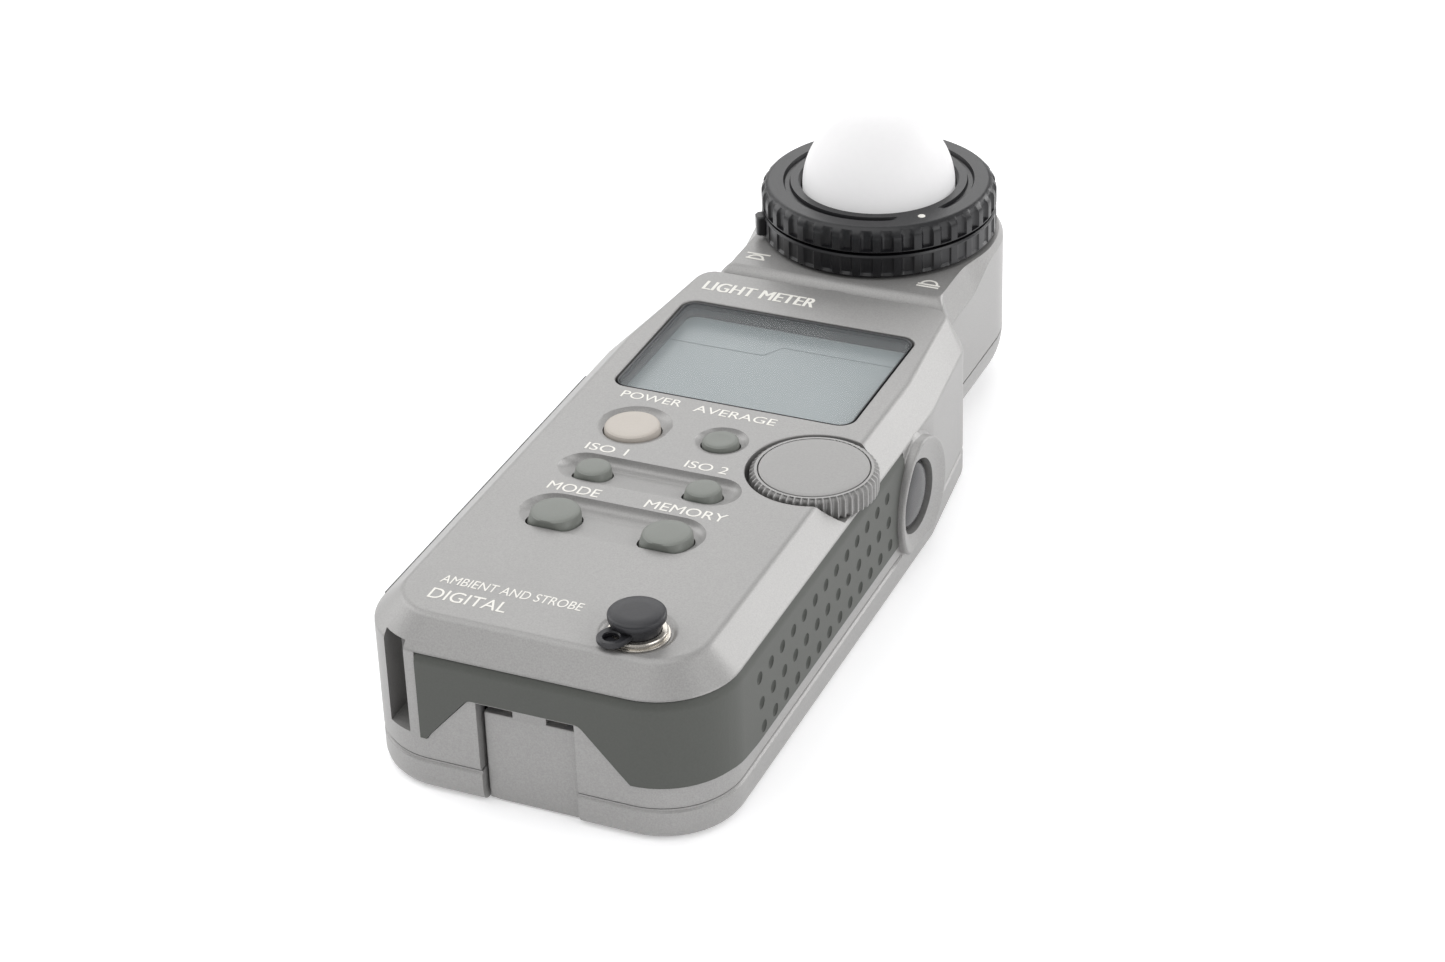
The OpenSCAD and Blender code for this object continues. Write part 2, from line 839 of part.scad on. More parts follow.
module head_front() {
    color([0.66, 0.66, 0.65])
    difference() {
        union() {
            difference() {
                union() {
                    head_slab(0, head_seam_z + 0.1, body_h - head_edge);
                    hull() {
                        head_slab(0, body_h - head_edge - 0.1, body_h - head_edge);
                        head_slab(head_edge, body_h - 0.1, body_h);
                    }
                }
                head_slab(head_wall, head_seam_z - cut, plate_under_z);
            }
            for (p = head_post_places)
                post(p, head_post_r[0], head_seam_z + 0.1, plate_under_z + 0.5);
        }
        // sloping lower edge of the front
        translate([-2 * head_half_w, head_start_y, plate_under_z])
            rotate([head_slope, 0, 0])
            cube([4 * head_half_w, 6, 6]);
        post([0, receptor_y], sleeve_r[1] + seat_gap, plate_under_z - cut, body_h + cut);
        y_rod(0, swivel_z, swivel_r + seat_gap, head_start_y - cut, head_start_y + head_wall + cut);
        for (p = head_post_places)
            post(p, head_screw_r, head_seam_z - cut, screw_hole_z);
    }
}

module head_rear_outside() {
    hull() {
        head_slab(0, head_seam_z - 0.4, head_seam_z);
        head_slab(0.7, 5.9, 6);
        head_slab(2.6, 3, 3.1);
        head_slab(6.5, head_base_z, head_base_z + 0.1);
    }
}

module head_rear_cavity() {
    hull() {
        head_slab(head_wall, head_seam_z, head_seam_z + cut);
        head_slab(head_wall + 0.7, 6, 6.1);
        head_slab(head_wall + 6, head_base_z + 2, head_base_z + 2.1);
    }
}

module head_rear() {
    color([0.66, 0.66, 0.65])
    difference() {
        union() {
            difference() {
                head_rear_outside();
                head_rear_cavity();
            }
            intersection() {
                head_rear_outside();
                for (p = head_post_places)
                    post(p, head_post_r[1], head_base_z, head_seam_z);
            }
        }
        for (p = head_post_places) {
            post(p, head_screw_r + 0.15, head_base_z - cut, head_seam_z + cut);
            post(p, head_screw_head_r + 0.2, head_base_z - cut, head_screw_z[1]);
        }
        y_rod(0, swivel_z, collar_r + 0.2, head_start_y + head_wall, head_start_y + head_wall + 3);
    }
}

module head_screws() {
    color([0.5, 0.5, 0.52])
    for (p = head_post_places) {
        post(p, head_screw_r, head_screw_z[0], head_screw_z[2]);
        post(p, head_screw_head_r, head_screw_z[0], head_screw_z[1]);
    }
}

module swivel_tube() {
    color([0.72, 0.72, 0.73])
    difference() {
        y_rod(0, swivel_z, swivel_r, tube_y[0], tube_y[1]);
        y_rod(0, swivel_z, swivel_bore_r, tube_y[0] - cut, tube_y[1] + cut);
    }
}

// Ring about the swivel axis
module swivel_ring(r, y0, y1) {
    difference() {
        y_rod(0, swivel_z, r, y0, y1);
        y_rod(0, swivel_z, swivel_r, y0 - cut, y1 + cut);
    }
}

module swivel_nut() {
    color([0.8, 0.68, 0.4]) swivel_ring(nut_r, half_l - wall - 0.1 - nut_t, half_l - wall - 0.1);
}

module swivel_washer() {
    color([0.9, 0.9, 0.88]) swivel_ring(washer_r, half_l + 0.05, head_start_y);
}

module swivel_collar() {
    color([0.72, 0.72, 0.73])
    swivel_ring(collar_r, head_start_y + head_wall, head_start_y + head_wall + collar_t);
}

module receptor_sleeve() {
    color([0.12, 0.12, 0.13])
    translate([0, receptor_y, 0])
    difference() {
        union() {
            cylinder(r = sleeve_r[1], h = sleeve_z[1]);
            translate([0, 0, sleeve_flange_z[0]])
                cylinder(r = sleeve_flange_r, h = sleeve_flange_z[1] - sleeve_flange_z[0]);
        }
        translate([0, 0, -cut]) cylinder(r = sleeve_r[0], h = sleeve_z[1] + 2 * cut);
        translate([0, 0, -cut]) cylinder(r = 30, h = sleeve_z[0] + cut);
    }
}

module lock_ring() {
    color([0.13, 0.13, 0.14])
    difference() {
        union() {
            post([0, receptor_y], ring_r, lock_ring_z[0], lock_ring_z[1]);
            translate([0, receptor_y, 0])
                rotate(lug_angle)
                block([ring_r - 2, -lug_half_w, lug_z], [ring_r + 1.3, lug_half_w, lock_ring_z[1]]);
        }
        post([0, receptor_y], ring_bore_r, lock_ring_z[0] - cut, lock_ring_z[1] + cut);
        difference() {
            ring_of_cutters([0, receptor_y], ring_r + 0.35, ring_groove_r, ring_grooves,
                lug_z + 0.6, lock_ring_z[1] + cut);
            translate([0, receptor_y, 0])
                rotate(lug_angle)
                block([ring_r - 3, -lug_half_w, lug_z - cut],
                    [ring_r + 2, lug_half_w, lock_ring_z[1] + 2 * cut]);
        }
    }
}

module retract_ring() {
    color([0.15, 0.15, 0.16])
    difference() {
        union() {
            post([0, receptor_y], ring_r, retract_ring_z[0], retract_ring_z[1] - ring_slope[1]);
            translate([0, receptor_y, retract_ring_z[1] - ring_slope[1]])
                cylinder(r1 = ring_r, r2 = ring_r - ring_slope[0], h = ring_slope[1]);
        }
        post([0, receptor_y], ring_bore_r, retract_ring_z[0] - cut, ring_lip_z);
        post([0, receptor_y], ring_lip_r, ring_lip_z - cut, retract_ring_z[1] + cut);
        tube([0, receptor_y], ring_channel_r[1], ring_channel_r[0],
            retract_ring_z[1] - ring_channel_depth, retract_ring_z[1] + cut);
        ring_of_cutters([0, receptor_y], ring_r + 0.1, ring_groove_r, ring_grooves,
            retract_ring_z[0] - cut, retract_ring_z[1] - ring_slope[1]);
    }
}

module dome() {
    color([0.96, 0.96, 0.97])
    translate([0, receptor_y, dome_z])
    union() {
        difference() {
            sphere(dome_r, $fn = 128);
            sphere(dome_r - dome_wall, $fn = 128);
            translate([0, 0, -2 * dome_r]) cylinder(r = 2 * dome_r, h = 2 * dome_r);
        }
        tube([0, 0], dome_r, dome_r - dome_wall, dome_skirt_z - dome_z, 0);
    }
}

module dome_carrier() {
    color([0.2, 0.2, 0.21])
    tube([0, receptor_y], sleeve_r[0] - 0.1, dome_r - dome_wall - 0.2, carrier_z, dome_skirt_z);
}

module light_sensor() {
    color([0.3, 0.4, 0.5])
    post([0, receptor_y], sensor_r, sleeve_z[0], sleeve_z[0] + sensor_h);
}

module sensor_board() {
    color([0.1, 0.35, 0.2])
    post([0, receptor_y], sensor_board_r, sleeve_z[0] - sensor_board_h, sleeve_z[0]);
}

front_shell();
rear_cover();
right_grip();
left_grip();
display_window();
display_bezel();
display_panel();
display_backlight();
display_connectors();
main_board();
button_switches();
power_button();
average_button();
speed_1_button();
speed_2_button();
mode_button();
memory_button();
jog_wheel();
jog_inlay();
jog_axle();
jog_encoder();
measuring_button();
measuring_switch();
sync_barrel();
sync_insulator();
sync_pin();
sync_cap();
battery_cover();
cover_hinge_pin();
battery_box();
battery();
battery_spring();
battery_contact();
tripod_insert();
case_screws();
head_front();
head_rear();
head_screws();
swivel_tube();
swivel_nut();
swivel_washer();
swivel_collar();
receptor_sleeve();
lock_ring();
retract_ring();
dome();
dome_carrier();
light_sensor();
sensor_board();
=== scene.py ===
"""Handheld light meter on a pale floor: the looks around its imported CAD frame.

Shapes are worked out in millimetres, and show() turns each finished mesh into metres.
"""
import json
from math import atan2, cos, hypot, pi, radians, sin, sqrt

import bmesh
import bpy
from mathutils import Matrix, Quaternion, Vector


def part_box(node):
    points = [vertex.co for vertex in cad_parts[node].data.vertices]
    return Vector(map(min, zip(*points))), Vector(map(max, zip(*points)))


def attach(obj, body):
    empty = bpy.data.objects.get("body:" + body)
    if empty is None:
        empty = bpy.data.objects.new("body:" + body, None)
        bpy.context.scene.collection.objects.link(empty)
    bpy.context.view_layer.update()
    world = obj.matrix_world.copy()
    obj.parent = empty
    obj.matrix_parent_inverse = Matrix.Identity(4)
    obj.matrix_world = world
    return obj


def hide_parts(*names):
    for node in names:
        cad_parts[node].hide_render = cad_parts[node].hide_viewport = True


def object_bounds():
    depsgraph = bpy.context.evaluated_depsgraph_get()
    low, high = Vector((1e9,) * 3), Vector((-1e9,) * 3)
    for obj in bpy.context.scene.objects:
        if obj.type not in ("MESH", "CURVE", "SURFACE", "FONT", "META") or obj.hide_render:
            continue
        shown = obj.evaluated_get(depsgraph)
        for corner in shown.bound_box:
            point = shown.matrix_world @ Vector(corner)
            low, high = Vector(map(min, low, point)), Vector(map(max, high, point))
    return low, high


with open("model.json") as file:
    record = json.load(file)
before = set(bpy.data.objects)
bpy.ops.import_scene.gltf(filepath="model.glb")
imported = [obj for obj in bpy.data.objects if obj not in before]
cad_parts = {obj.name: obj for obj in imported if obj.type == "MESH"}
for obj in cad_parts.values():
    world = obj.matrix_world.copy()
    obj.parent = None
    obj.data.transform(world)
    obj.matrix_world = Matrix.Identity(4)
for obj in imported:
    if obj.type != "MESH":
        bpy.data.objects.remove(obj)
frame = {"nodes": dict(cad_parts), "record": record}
cad_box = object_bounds()

MM = 0.001


# ---------------- places taken from the frame

def low(node):
    """Lowest corner of a CAD node, in millimetres."""
    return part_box(node)[0] / MM


def high(node):
    """Highest corner of a CAD node, in millimetres."""
    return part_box(node)[1] / MM


def middle(node):
    return (low(node) + high(node)) / 2


def span(node):
    return high(node) - low(node)


# body: half sizes, front face, seam, top of the rear cover, sloping edge round the face
half_w = high("rear_cover").x
half_l = high("rear_cover").y
face_z = high("front_shell").z
seam_z = low("front_shell").z
cover_z = seam_z - 0.1
chamfer_w = 4.3
chamfer_h = 4.1
sill_z = face_z - chamfer_h
wall = 2.6
plate_z = face_z - 2
# plan of the body: narrowing above the shoulder, corner radii at the lower and upper ends
taper = 2.0
shoulder_y = 32
lower_r = 12
upper_r = 7
# grips: lower edge along the side and round the lower end, depth of the recess, height over the shell
grip_z = low("right_grip").z
side_grip_z = grip_z - 0.04
front_grip_z = 9.15
grip_depth = 1.4
grip_proud = 0.3
left_grip_proud = 0.5
# battery tab: half width of the tab, of the hole for it and of its tongue
tab_w = 7.2
tab_hole_w = 7.5
tongue_w = 2.6
# axis of the tube that the head turns on
swivel_z = middle("swivel_tube").z
# a length past the edge of everything, for cutters
far = 60


# ---------------- solids: (points, faces)

def arc(cx, cy, r, start, end, steps=14):
    """Points of an arc, its angles in degrees."""
    turns = [radians(start + (end - start) * i / steps) for i in range(steps + 1)]
    return [(cx + r * cos(a), cy + r * sin(a)) for a in turns]


def rounded(line, steps=5):
    """An open line of (x, y) or (x, y, radius) points, with an arc at each corner that has a radius."""
    out = [line[0][:2]]
    for before, corner, after in zip(line, line[1:], line[2:]):
        if len(corner) == 2:
            out.append(corner)
            continue
        at = Vector(corner[:2])
        back = Vector(before[:2]) - at
        ahead = Vector(after[:2]) - at
        reach = min(corner[2], back.length / 2, ahead.length / 2)
        first = at + back.normalized() * reach
        last = at + ahead.normalized() * reach
        for i in range(steps + 1):
            t = i / steps
            out.append(tuple(first * (1 - t) ** 2 + at * 2 * t * (1 - t) + last * t * t))
    out.append(line[-1][:2])
    return out


def loft(rings):
    """Closed solid through rings of equally many points, with a flat cap at each end."""
    count = len(rings[0])
    points = [p for ring in rings for p in ring]
    faces = [tuple(reversed(range(count)))]
    for r in range(len(rings) - 1):
        for i in range(count):
            j = (i + 1) % count
            faces.append((r * count + i, r * count + j, (r + 1) * count + j, (r + 1) * count + i))
    faces.append(tuple((len(rings) - 1) * count + i for i in range(count)))
    return points, faces


def turned(profile, at, axis="Z", steps=96, radius=None):
    """Solid of revolution. The profile runs from one end to the other as (r, height) pairs.

    radius(r, angle, height) may change a radius round the turn, for teeth and grooves."""
    at = (*at, 0)[:3]
    thinnest = 0.002
    rings = []
    for r, h in profile:
        ring = []
        for i in range(steps):
            a = 2 * pi * i / steps
            s = max(radius(r, a, h) if radius else r, thinnest)
            u, v = s * cos(a), s * sin(a)
            ring.append({"X": (h, at[1] + u, at[2] + v),
                         "Y": (at[0] + v, h, at[2] + u),
                         "Z": (at[0] + u, at[1] + v, h)}[axis])
        rings.append(ring)
    return loft(rings)


def rod(at, r, start, end, axis="Z", steps=64):
    """Round bar from start to end along an axis."""
    return turned([(r, start), (r, end)], at, axis, steps)


def block(a, b):
    """Box between two corners."""
    ring = [(a[0], a[1]), (b[0], a[1]), (b[0], b[1]), (a[0], b[1])]
    return loft([[(x, y, a[2]) for x, y in ring], [(x, y, b[2]) for x, y in ring]])


def slab(outline, start, end):
    """Outline carried straight from one height to another."""
    return loft([[(x, y, z) for x, y in outline] for z in (start, end)])


def ball(at, radii, steps=20):
    """Ellipsoid with its poles along Z."""
    rings = []
    for k in range(steps + 1):
        t = -pi / 2 + pi * k / steps
        r = max(cos(t), 0.01)
        rings.append([(at[0] + radii[0] * r * cos(2 * pi * i / (2 * steps)),
                       at[1] + radii[1] * r * sin(2 * pi * i / (2 * steps)),
                       at[2] + radii[2] * sin(t)) for i in range(2 * steps)])
    return loft(rings)


def turn_about(solid, pivot, axis, angle):
    """The same solid turned about an axis through a point, in degrees."""
    spin = Quaternion(axis, radians(angle))
    at = Vector(pivot)
    return [tuple(spin @ (Vector(p) - at) + at) for p in solid[0]], solid[1]


def stand_up(solid):
    """The same solid with its Y turned to Z and its Z to -Y."""
    return [(x, -z, y) for x, y, z in solid[0]], solid[1]


def joined(*solids):
    """Several solids as one."""
    points, faces = [], []
    for p, f in solids:
        base = len(points)
        points += list(p)
        faces += [tuple(base + i for i in face) for face in f]
    return points, faces


# ---------------- objects made from solids

def make(name, solid):
    """Object of a solid, its faces turned outwards."""
    mesh = bpy.data.meshes.new(name)
    mesh.from_pydata(solid[0], [], solid[1])
    shape = bmesh.new()
    shape.from_mesh(mesh)
    bmesh.ops.recalc_face_normals(shape, faces=shape.faces)
    shape.to_mesh(mesh)
    shape.free()
    mesh.update()
    piece = bpy.data.objects.new(name, mesh)
    bpy.context.scene.collection.objects.link(piece)
    return piece


def bake(piece):
    """Applies the modifiers of a piece."""
    bpy.context.view_layer.update()
    graph = bpy.context.evaluated_depsgraph_get()
    mesh = bpy.data.meshes.new_from_object(piece.evaluated_get(graph))
    piece.modifiers.clear()
    old = piece.data
    piece.data = mesh
    bpy.data.meshes.remove(old)
    mesh.name = piece.name


def combine(piece, how, solids):
    """Cuts, adds or intersects solids with a piece, one after another."""
    for solid in solids:
        tool = make("tool", solid)
        step = piece.modifiers.new("combine", "BOOLEAN")
        step.operation = how
        step.solver = "MANIFOLD"
        step.object = tool
        bake(piece)
        bpy.data.objects.remove(tool)


def cut(piece, *solids):
    combine(piece, "DIFFERENCE", solids)


def add(piece, *solids):
    combine(piece, "UNION", solids)


def keep(piece, *solids):
    combine(piece, "INTERSECT", solids)


def as_solid(piece):
    """Takes a scratch object's mesh as a solid and removes the object."""
    points = [tuple(v.co) for v in piece.data.vertices]
    faces = [tuple(f.vertices) for f in piece.data.polygons]
    bpy.data.objects.remove(piece)
    return points, faces


def show(piece, body, finish, slot, *replaced, sharp=32):
    """Finishes a piece: metres, creases, material, body and the nodes that it replaces. The slot argument is
    not used.
    """
    mesh = piece.data
    mesh.transform(Matrix.Scale(MM, 4))
    mesh.materials.clear()
    mesh.materials.append(finish)
    for face in mesh.polygons:
        face.material_index = 0
        face.use_smooth = True
    mesh.set_sharp_from_angle(angle=radians(sharp))
    normals = piece.modifiers.new("normals", "WEIGHTED_NORMAL")
    normals.keep_sharp = True
    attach(piece, body)
    if replaced:
        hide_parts(*replaced)


# ---------------- materials

def linear(level):
    """A display level from 0 to 255 as linear light."""
    s = level / 255
    return s / 12.92 if s <= 0.04045 else ((s + 0.055) / 1.055) ** 2.4


def tone(colour, factor):
    """A colour of display levels, made darker or lighter, as linear RGBA."""
    return [min(1.0, linear(c) * factor) for c in colour] + [1.0]


def surface(name, colour, roughness, metallic=0.0, grain=2500, mottle=0.05, relief=0.15,
            depth=0.00004, spread=0.08, cloud=60, cloudiness=0.03, sockets=()):
    """Moulded, painted or turned surface: fine grain in colour, roughness and relief over a slow cloud."""
    material = bpy.data.materials.new(name)
    material.use_nodes = True
    nodes, links = material.node_tree.nodes, material.node_tree.links
    shader = nodes["Principled BSDF"]
    place = nodes.new("ShaderNodeTexCoord")

    def noise(scale, detail):
        node = nodes.new("ShaderNodeTexNoise")
        node.inputs["Scale"].default_value = scale
        node.inputs["Detail"].default_value = detail
        links.new(place.outputs["Object"], node.inputs["Vector"])
        return node

    def ramp(source, dark, light):
        node = nodes.new("ShaderNodeValToRGB")
        node.color_ramp.elements[0].position = 0.3
        node.color_ramp.elements[1].position = 0.7
        node.color_ramp.elements[0].color = dark
        node.color_ramp.elements[1].color = light
        links.new(source.outputs["Fac"], node.inputs["Fac"])
        return node

    fine = noise(grain, 3)
    slow = noise(cloud, 4)
    base = ramp(fine, tone(colour, 1 - mottle), tone(colour, 1 + mottle))
    tint = ramp(slow, [1 - cloudiness] * 3 + [1], [1, 1, 1, 1])
    mix = nodes.new("ShaderNodeMix")
    mix.data_type = "RGBA"
    mix.blend_type = "MULTIPLY"
    mix.inputs["Factor"].default_value = 1
    links.new(base.outputs["Color"], mix.inputs["A"])
    links.new(tint.outputs["Color"], mix.inputs["B"])
    links.new(mix.outputs["Result"], shader.inputs["Base Color"])
    gloss = nodes.new("ShaderNodeMapRange")
    gloss.inputs["To Min"].default_value = max(0.02, roughness - spread)
    gloss.inputs["To Max"].default_value = min(1, roughness + spread)
    links.new(fine.outputs["Fac"], gloss.inputs["Value"])
    links.new(gloss.outputs["Result"], shader.inputs["Roughness"])
    bump = nodes.new("ShaderNodeBump")
    bump.inputs["Strength"].default_value = relief
    bump.inputs["Distance"].default_value = depth
    links.new(fine.outputs["Fac"], bump.inputs["Height"])
    links.new(bump.outputs["Normal"], shader.inputs["Normal"])
    shader.inputs["Metallic"].default_value = metallic
    for socket, value in sockets:
        shader.inputs[socket].default_value = value
    return material


def lit(strength):
    """Sockets of a surface that glows a little: a lit floor sweep, or painted glow standing in for light on a
    part that is no lamp.
    """
    return [("Emission Color", (1, 1, 1, 1)), ("Emission Strength", strength)]


paint = surface("satin_metallic_paint", (157, 156, 155), 0.42, metallic=0.35, grain=4200, mottle=0.1,
                relief=0.3, cloud=45, cloudiness=0.04)
inlay_paint = surface("wheel_inlay_paint", (150, 149, 148), 0.4, metallic=0.35, grain=4200, mottle=0.07)
rubber = surface("grip_rubber", (76, 78, 74), 0.55, grain=3000, mottle=0.06, relief=0.35)
cap_rubber = surface("cap_rubber", (37, 37, 41), 0.42, grain=2600, mottle=0.08, relief=0.25)
key_plastic = surface("key_plastic", (120, 123, 118), 0.42, grain=3500, mottle=0.04, relief=0.12)
power_plastic = surface("power_key_plastic", (184, 177, 169), 0.4, grain=3500, mottle=0.03, relief=0.1)
ring_plastic = surface("ring_plastic", (23, 23, 26), 0.34, grain=3800, mottle=0.12, relief=0.3)
black_plastic = surface("black_plastic", (48, 48, 50), 0.45, grain=3500, mottle=0.1, relief=0.25)
gloss_black = surface("gloss_black", (28, 28, 32), 0.2, grain=900, mottle=0.05, relief=0.02, spread=0.05)
bezel_plastic = surface("bezel_plastic", (46, 48, 51), 0.4, grain=3500, mottle=0.06)
lcd = surface("lcd_panel", (121, 131, 133), 0.3, grain=1600, mottle=0.015, relief=0.03, spread=0.05,
              cloud=22, cloudiness=0.06)
lcd_line = surface("lcd_line", (96, 106, 110), 0.35, grain=1600, mottle=0.02, relief=0.03)
glass = surface("window_glass", (240, 244, 246), 0.08, grain=700, mottle=0.01, relief=0.01, spread=0.03,
                sockets=[("Alpha", 0.07)])
# the dome's emission is painted glow: it brightens and flattens the dome's shading, though the dome is no
# lamp
opal_painted_glow = surface("opal_dome_painted_glow", (190, 189, 190), 0.45, grain=900, mottle=0.01, relief=0.03, cloudiness=0.01,
               sockets=[*lit(0.35), ("Specular IOR Level", 0.15)])
nickel = surface("nickel", (205, 200, 192), 0.26, metallic=0.9, grain=1800, mottle=0.05, relief=0.02)
steel = surface("turned_steel", (176, 176, 178), 0.3, metallic=0.95, grain=2200, mottle=0.08, relief=0.15)
brass = surface("turned_brass", (205, 174, 104), 0.3, metallic=0.95, grain=2200, mottle=0.08, relief=0.15)
board_green = surface("fibreglass_board", (34, 92, 58), 0.42, grain=1400, mottle=0.18, relief=0.2)
white_plastic = surface("white_plastic", (226, 226, 222), 0.45, grain=3000, mottle=0.03)
light_sheet = surface("diffuser_sheet", (232, 232, 224), 0.5, grain=2200, mottle=0.03)
zebra = surface("zebra_rubber", (214, 176, 186), 0.6, grain=3800, mottle=0.2)
cell_sleeve = surface("cell_sleeve", (40, 74, 128), 0.35, metallic=0.2, grain=1200, mottle=0.12)
filter_glass = surface("filter_glass", (70, 110, 130), 0.12, grain=900, mottle=0.05, relief=0.02)
print_white = surface("label_print", (232, 230, 224), 0.5, grain=4000, mottle=0.03, relief=0.1)

slot_finish = {
    "shell": paint, "grip_rubber": rubber, "window": glass, "bezel": bezel_plastic, "display": lcd,
    "backlight": light_sheet, "connector_rubber": zebra, "board": board_green, "switch_metal": nickel,
    "power_key": power_plastic, "key": key_plastic, "wheel": paint, "steel": steel,
    "black_plastic": black_plastic, "black_gloss": gloss_black, "contact_metal": nickel,
    "white_plastic": white_plastic, "brass": brass, "cap_rubber": cap_rubber, "cell": cell_sleeve,
    "diffuser": opal_painted_glow, "sensor_glass": filter_glass,
}
for part in frame["record"]["subparts"]:
    mesh = frame["nodes"][part["node"]].data
    for index in range(len(mesh.materials)):
        mesh.materials[index] = slot_finish[part["material_slot"]]
    if not mesh.materials:
        mesh.materials.append(slot_finish[part["material_slot"]])


# ---------------- outlines and shared spaces

def body_outline(side, top=0.0):
    """Outline of the body, drawn in by side all round and by top at the head end."""
    w = half_w - side
    r1 = max(lower_r - side, 1)
    r2 = max(upper_r - side, 1.5)
    y0 = side - half_l
    y1 = half_l - top
    w2 = w - taper
    return (arc(r1 - w, y0 + r1, r1, 180, 270) + arc(w - r1, y0 + r1, r1, 270, 360)
            + [(w, shoulder_y)] + arc(w2 - r2, y1 - r2, r2, 0, 90)
            + arc(r2 - w2, y1 - r2, r2, 90, 180) + [(-w, shoulder_y)])


def body_rings(profile, top_round=0.0):
    """Rings of the body outline along an (inset, height) profile, rounded at the head end."""
    rings = []
    easing = 0.7
    for inset, z in profile:
        t = max(0.0, (z - face_z + easing) / easing)
        top = top_round * (1 - sqrt(max(0, 1 - t * t)))
        rings.append([(x, y, z) for x, y in body_outline(inset, top)])
    return rings


def rectangle(w, l, r, at=(0, 0)):
    """Outline of a rounded rectangle."""
    x, y = w / 2 - r, l / 2 - r
    corners = (arc(-x, -y, r, 180, 270) + arc(x, -y, r, 270, 360) + arc(x, y, r, 0, 90)
               + arc(-x, y, r, 90, 180))
    return [(at[0] + a, at[1] + b) for a, b in corners]


def stadium(x0, x1, y, r):
    """Outline of a slot with round ends, or of a circle where the two places are one."""
    return arc(x0, y, r, 90, 270, 24) + arc(x1, y, r, 270, 450, 24)


# side button, and the boss round it: a circle cut by a larger one, tilted about its far edge
measure_at = middle("measuring_button")
boss_x = high("front_shell").x
boss_r = 9.8
boss_edge = (0, 29.3, 12)
boss_edge_r = 14.05
boss_tilt = -3.2
boss_hinge = (boss_x, measure_at[1] + 9, measure_at[2])
# setting wheel, sync terminal and screw posts of the body
jog_at = middle("jog_wheel")
wheel_floor_z = low("jog_wheel").z - 0.2
sync_at = middle("sync_barrel")
post_places = [(20.5 * s, 50.8) for s in (-1, 1)] + [(21.5 * s, -38) for s in (-1, 1)]


def tab_surround(gap):
    """Light shell round the battery tab that the grip leaves free."""
    z = front_grip_z
    top = 17.4 + gap
    line = [(-16.4 - gap, z - 3), (-15.9 - gap, z + 0.2, 1.2), (-8.8 - gap, top, 0.8),
            (8.3 + gap, top, 0.8), (15.4 + gap, z + 0.6, 2.5), (19 + gap, z - 3)]
    return stand_up(slab(rounded(line), half_l - 4, half_l + 2))


def grip_foot(gap):
    """Shell below the right grip, higher round the lower end than along the side."""
    ramp_start, ramp_end = -49, -38
    line = [(-far, -1), (-far, front_grip_z + gap), (ramp_start, front_grip_z + gap),
            (ramp_end, side_grip_z + gap), (far, side_grip_z + gap), (far, -1)]
    return loft([[(x, y, z) for y, z in line] for x in (-far, far)])


def right_space(profile, inner, gap):
    """Space of the right grip, with its outer face along an (inset, height) profile."""
    piece = make("space", loft(body_rings(profile)))
    bottom, top = profile[0][1] - 1, profile[-1][1] + 1
    cut(piece, slab(body_outline(inner), bottom, top), tab_surround(gap), grip_foot(gap),
        rod(boss_edge, boss_edge_r + gap, 10, half_w + 5, "X", 256))
    left_end = -17 + gap
    head_end = high("right_grip").y + 0.1 - gap
    keep(piece, block((left_end, -half_l - 2, 0), (half_w + 3, head_end, face_z)))
    return piece


def left_space(profile, inner, gap):
    """Space of the left grip, with its outer face along an (inset, height) profile."""
    piece = make("space", loft(body_rings(profile)))
    bottom, top = profile[0][1] - 1, profile[-1][1] + 1
    cut(piece, slab(body_outline(inner), bottom, top))
    keep(piece, block((-half_w - 3, low("left_grip").y - 0.1 + gap, 0),
                      (-half_w + 4, high("left_grip").y + 0.1 - gap, face_z)))
    return piece


def scoop(x0, x1, y, r, depth, shift=0.42, rings=12):
    """Cutter for a dish that is steep on its +Y side and fades out on its -Y side."""
    edge = stadium(x0, x1, y, r)
    spine = [(min(max(px, x0), x1), y + shift * r) for px, _ in edge]
    solid = []
    start = 0.04
    for k in range(rings + 1):
        q = start + (1 - start) * k / rings
        ring = []
        for (ex, ey), (sx, sy) in zip(edge, spine):
            power = 3.2 + 2.2 * (ey - y) / r
            drop = depth * (1 - q ** power)
            ring.append((sx + (ex - sx) * q, sy + (ey - sy) * q, face_z + 0.01 - drop))
        solid.append(ring)
    solid.append([(x, yy, face_z + 1) for x, yy in edge])
    return loft(solid)


def flared(outline, start, flare=0.3):
    """Cutter along Z through the front face with a rounded mouth. outline(grow) gives its outline."""
    steps = [(0, start), (0, face_z - flare)]
    for t in (pi / 8, pi / 4, 3 * pi / 8):
        steps.append((flare * (1 - cos(t)), face_z - flare * (1 - sin(t))))
    mouth = flare * 1.02
    steps += [(mouth, face_z + 0.01), (mouth, face_z + 1)]
    return loft([[(x, y, z) for x, y in outline(grow)] for grow, z in steps])


def key_outline(at, r, grow=0.0, flat=0.0, square=1.0, steps=96):
    """Outline of a round key, or of one whose lower half is squarer and ends in a flat."""
    ring = []
    for i in range(steps):
        c, s = cos(2 * pi * i / steps), sin(2 * pi * i / steps)
        reach = r + grow
        if flat and s < 0:
            reach *= 1 + square * ((c ** 4 + s ** 4) ** -0.25 - 1)
        y = max(reach * s, -flat - grow * (1 if grow > 0 else 0.3)) if flat else reach * s
        ring.append((at[0] + reach * c, at[1] + y))
    return ring


# front keys: distance from centre to flat (0 for a round key), material and slot
keys = {
    "power_button": (0, power_plastic, "power_key"),
    "average_button": (0, key_plastic, "key"),
    "speed_1_button": (2.75, key_plastic, "key"),
    "speed_2_button": (2.75, key_plastic, "key"),
    "mode_button": (3.5, key_plastic, "key"),
    "memory_button": (3.5, key_plastic, "key"),
}


# flange that holds each key behind the front plate: width, underside and top
flange = 0.7
flange_z = (24.6, 25.4)


def key_radius(node):
    return span(node).x / 2 - flange


# ---------------- body shells and grips

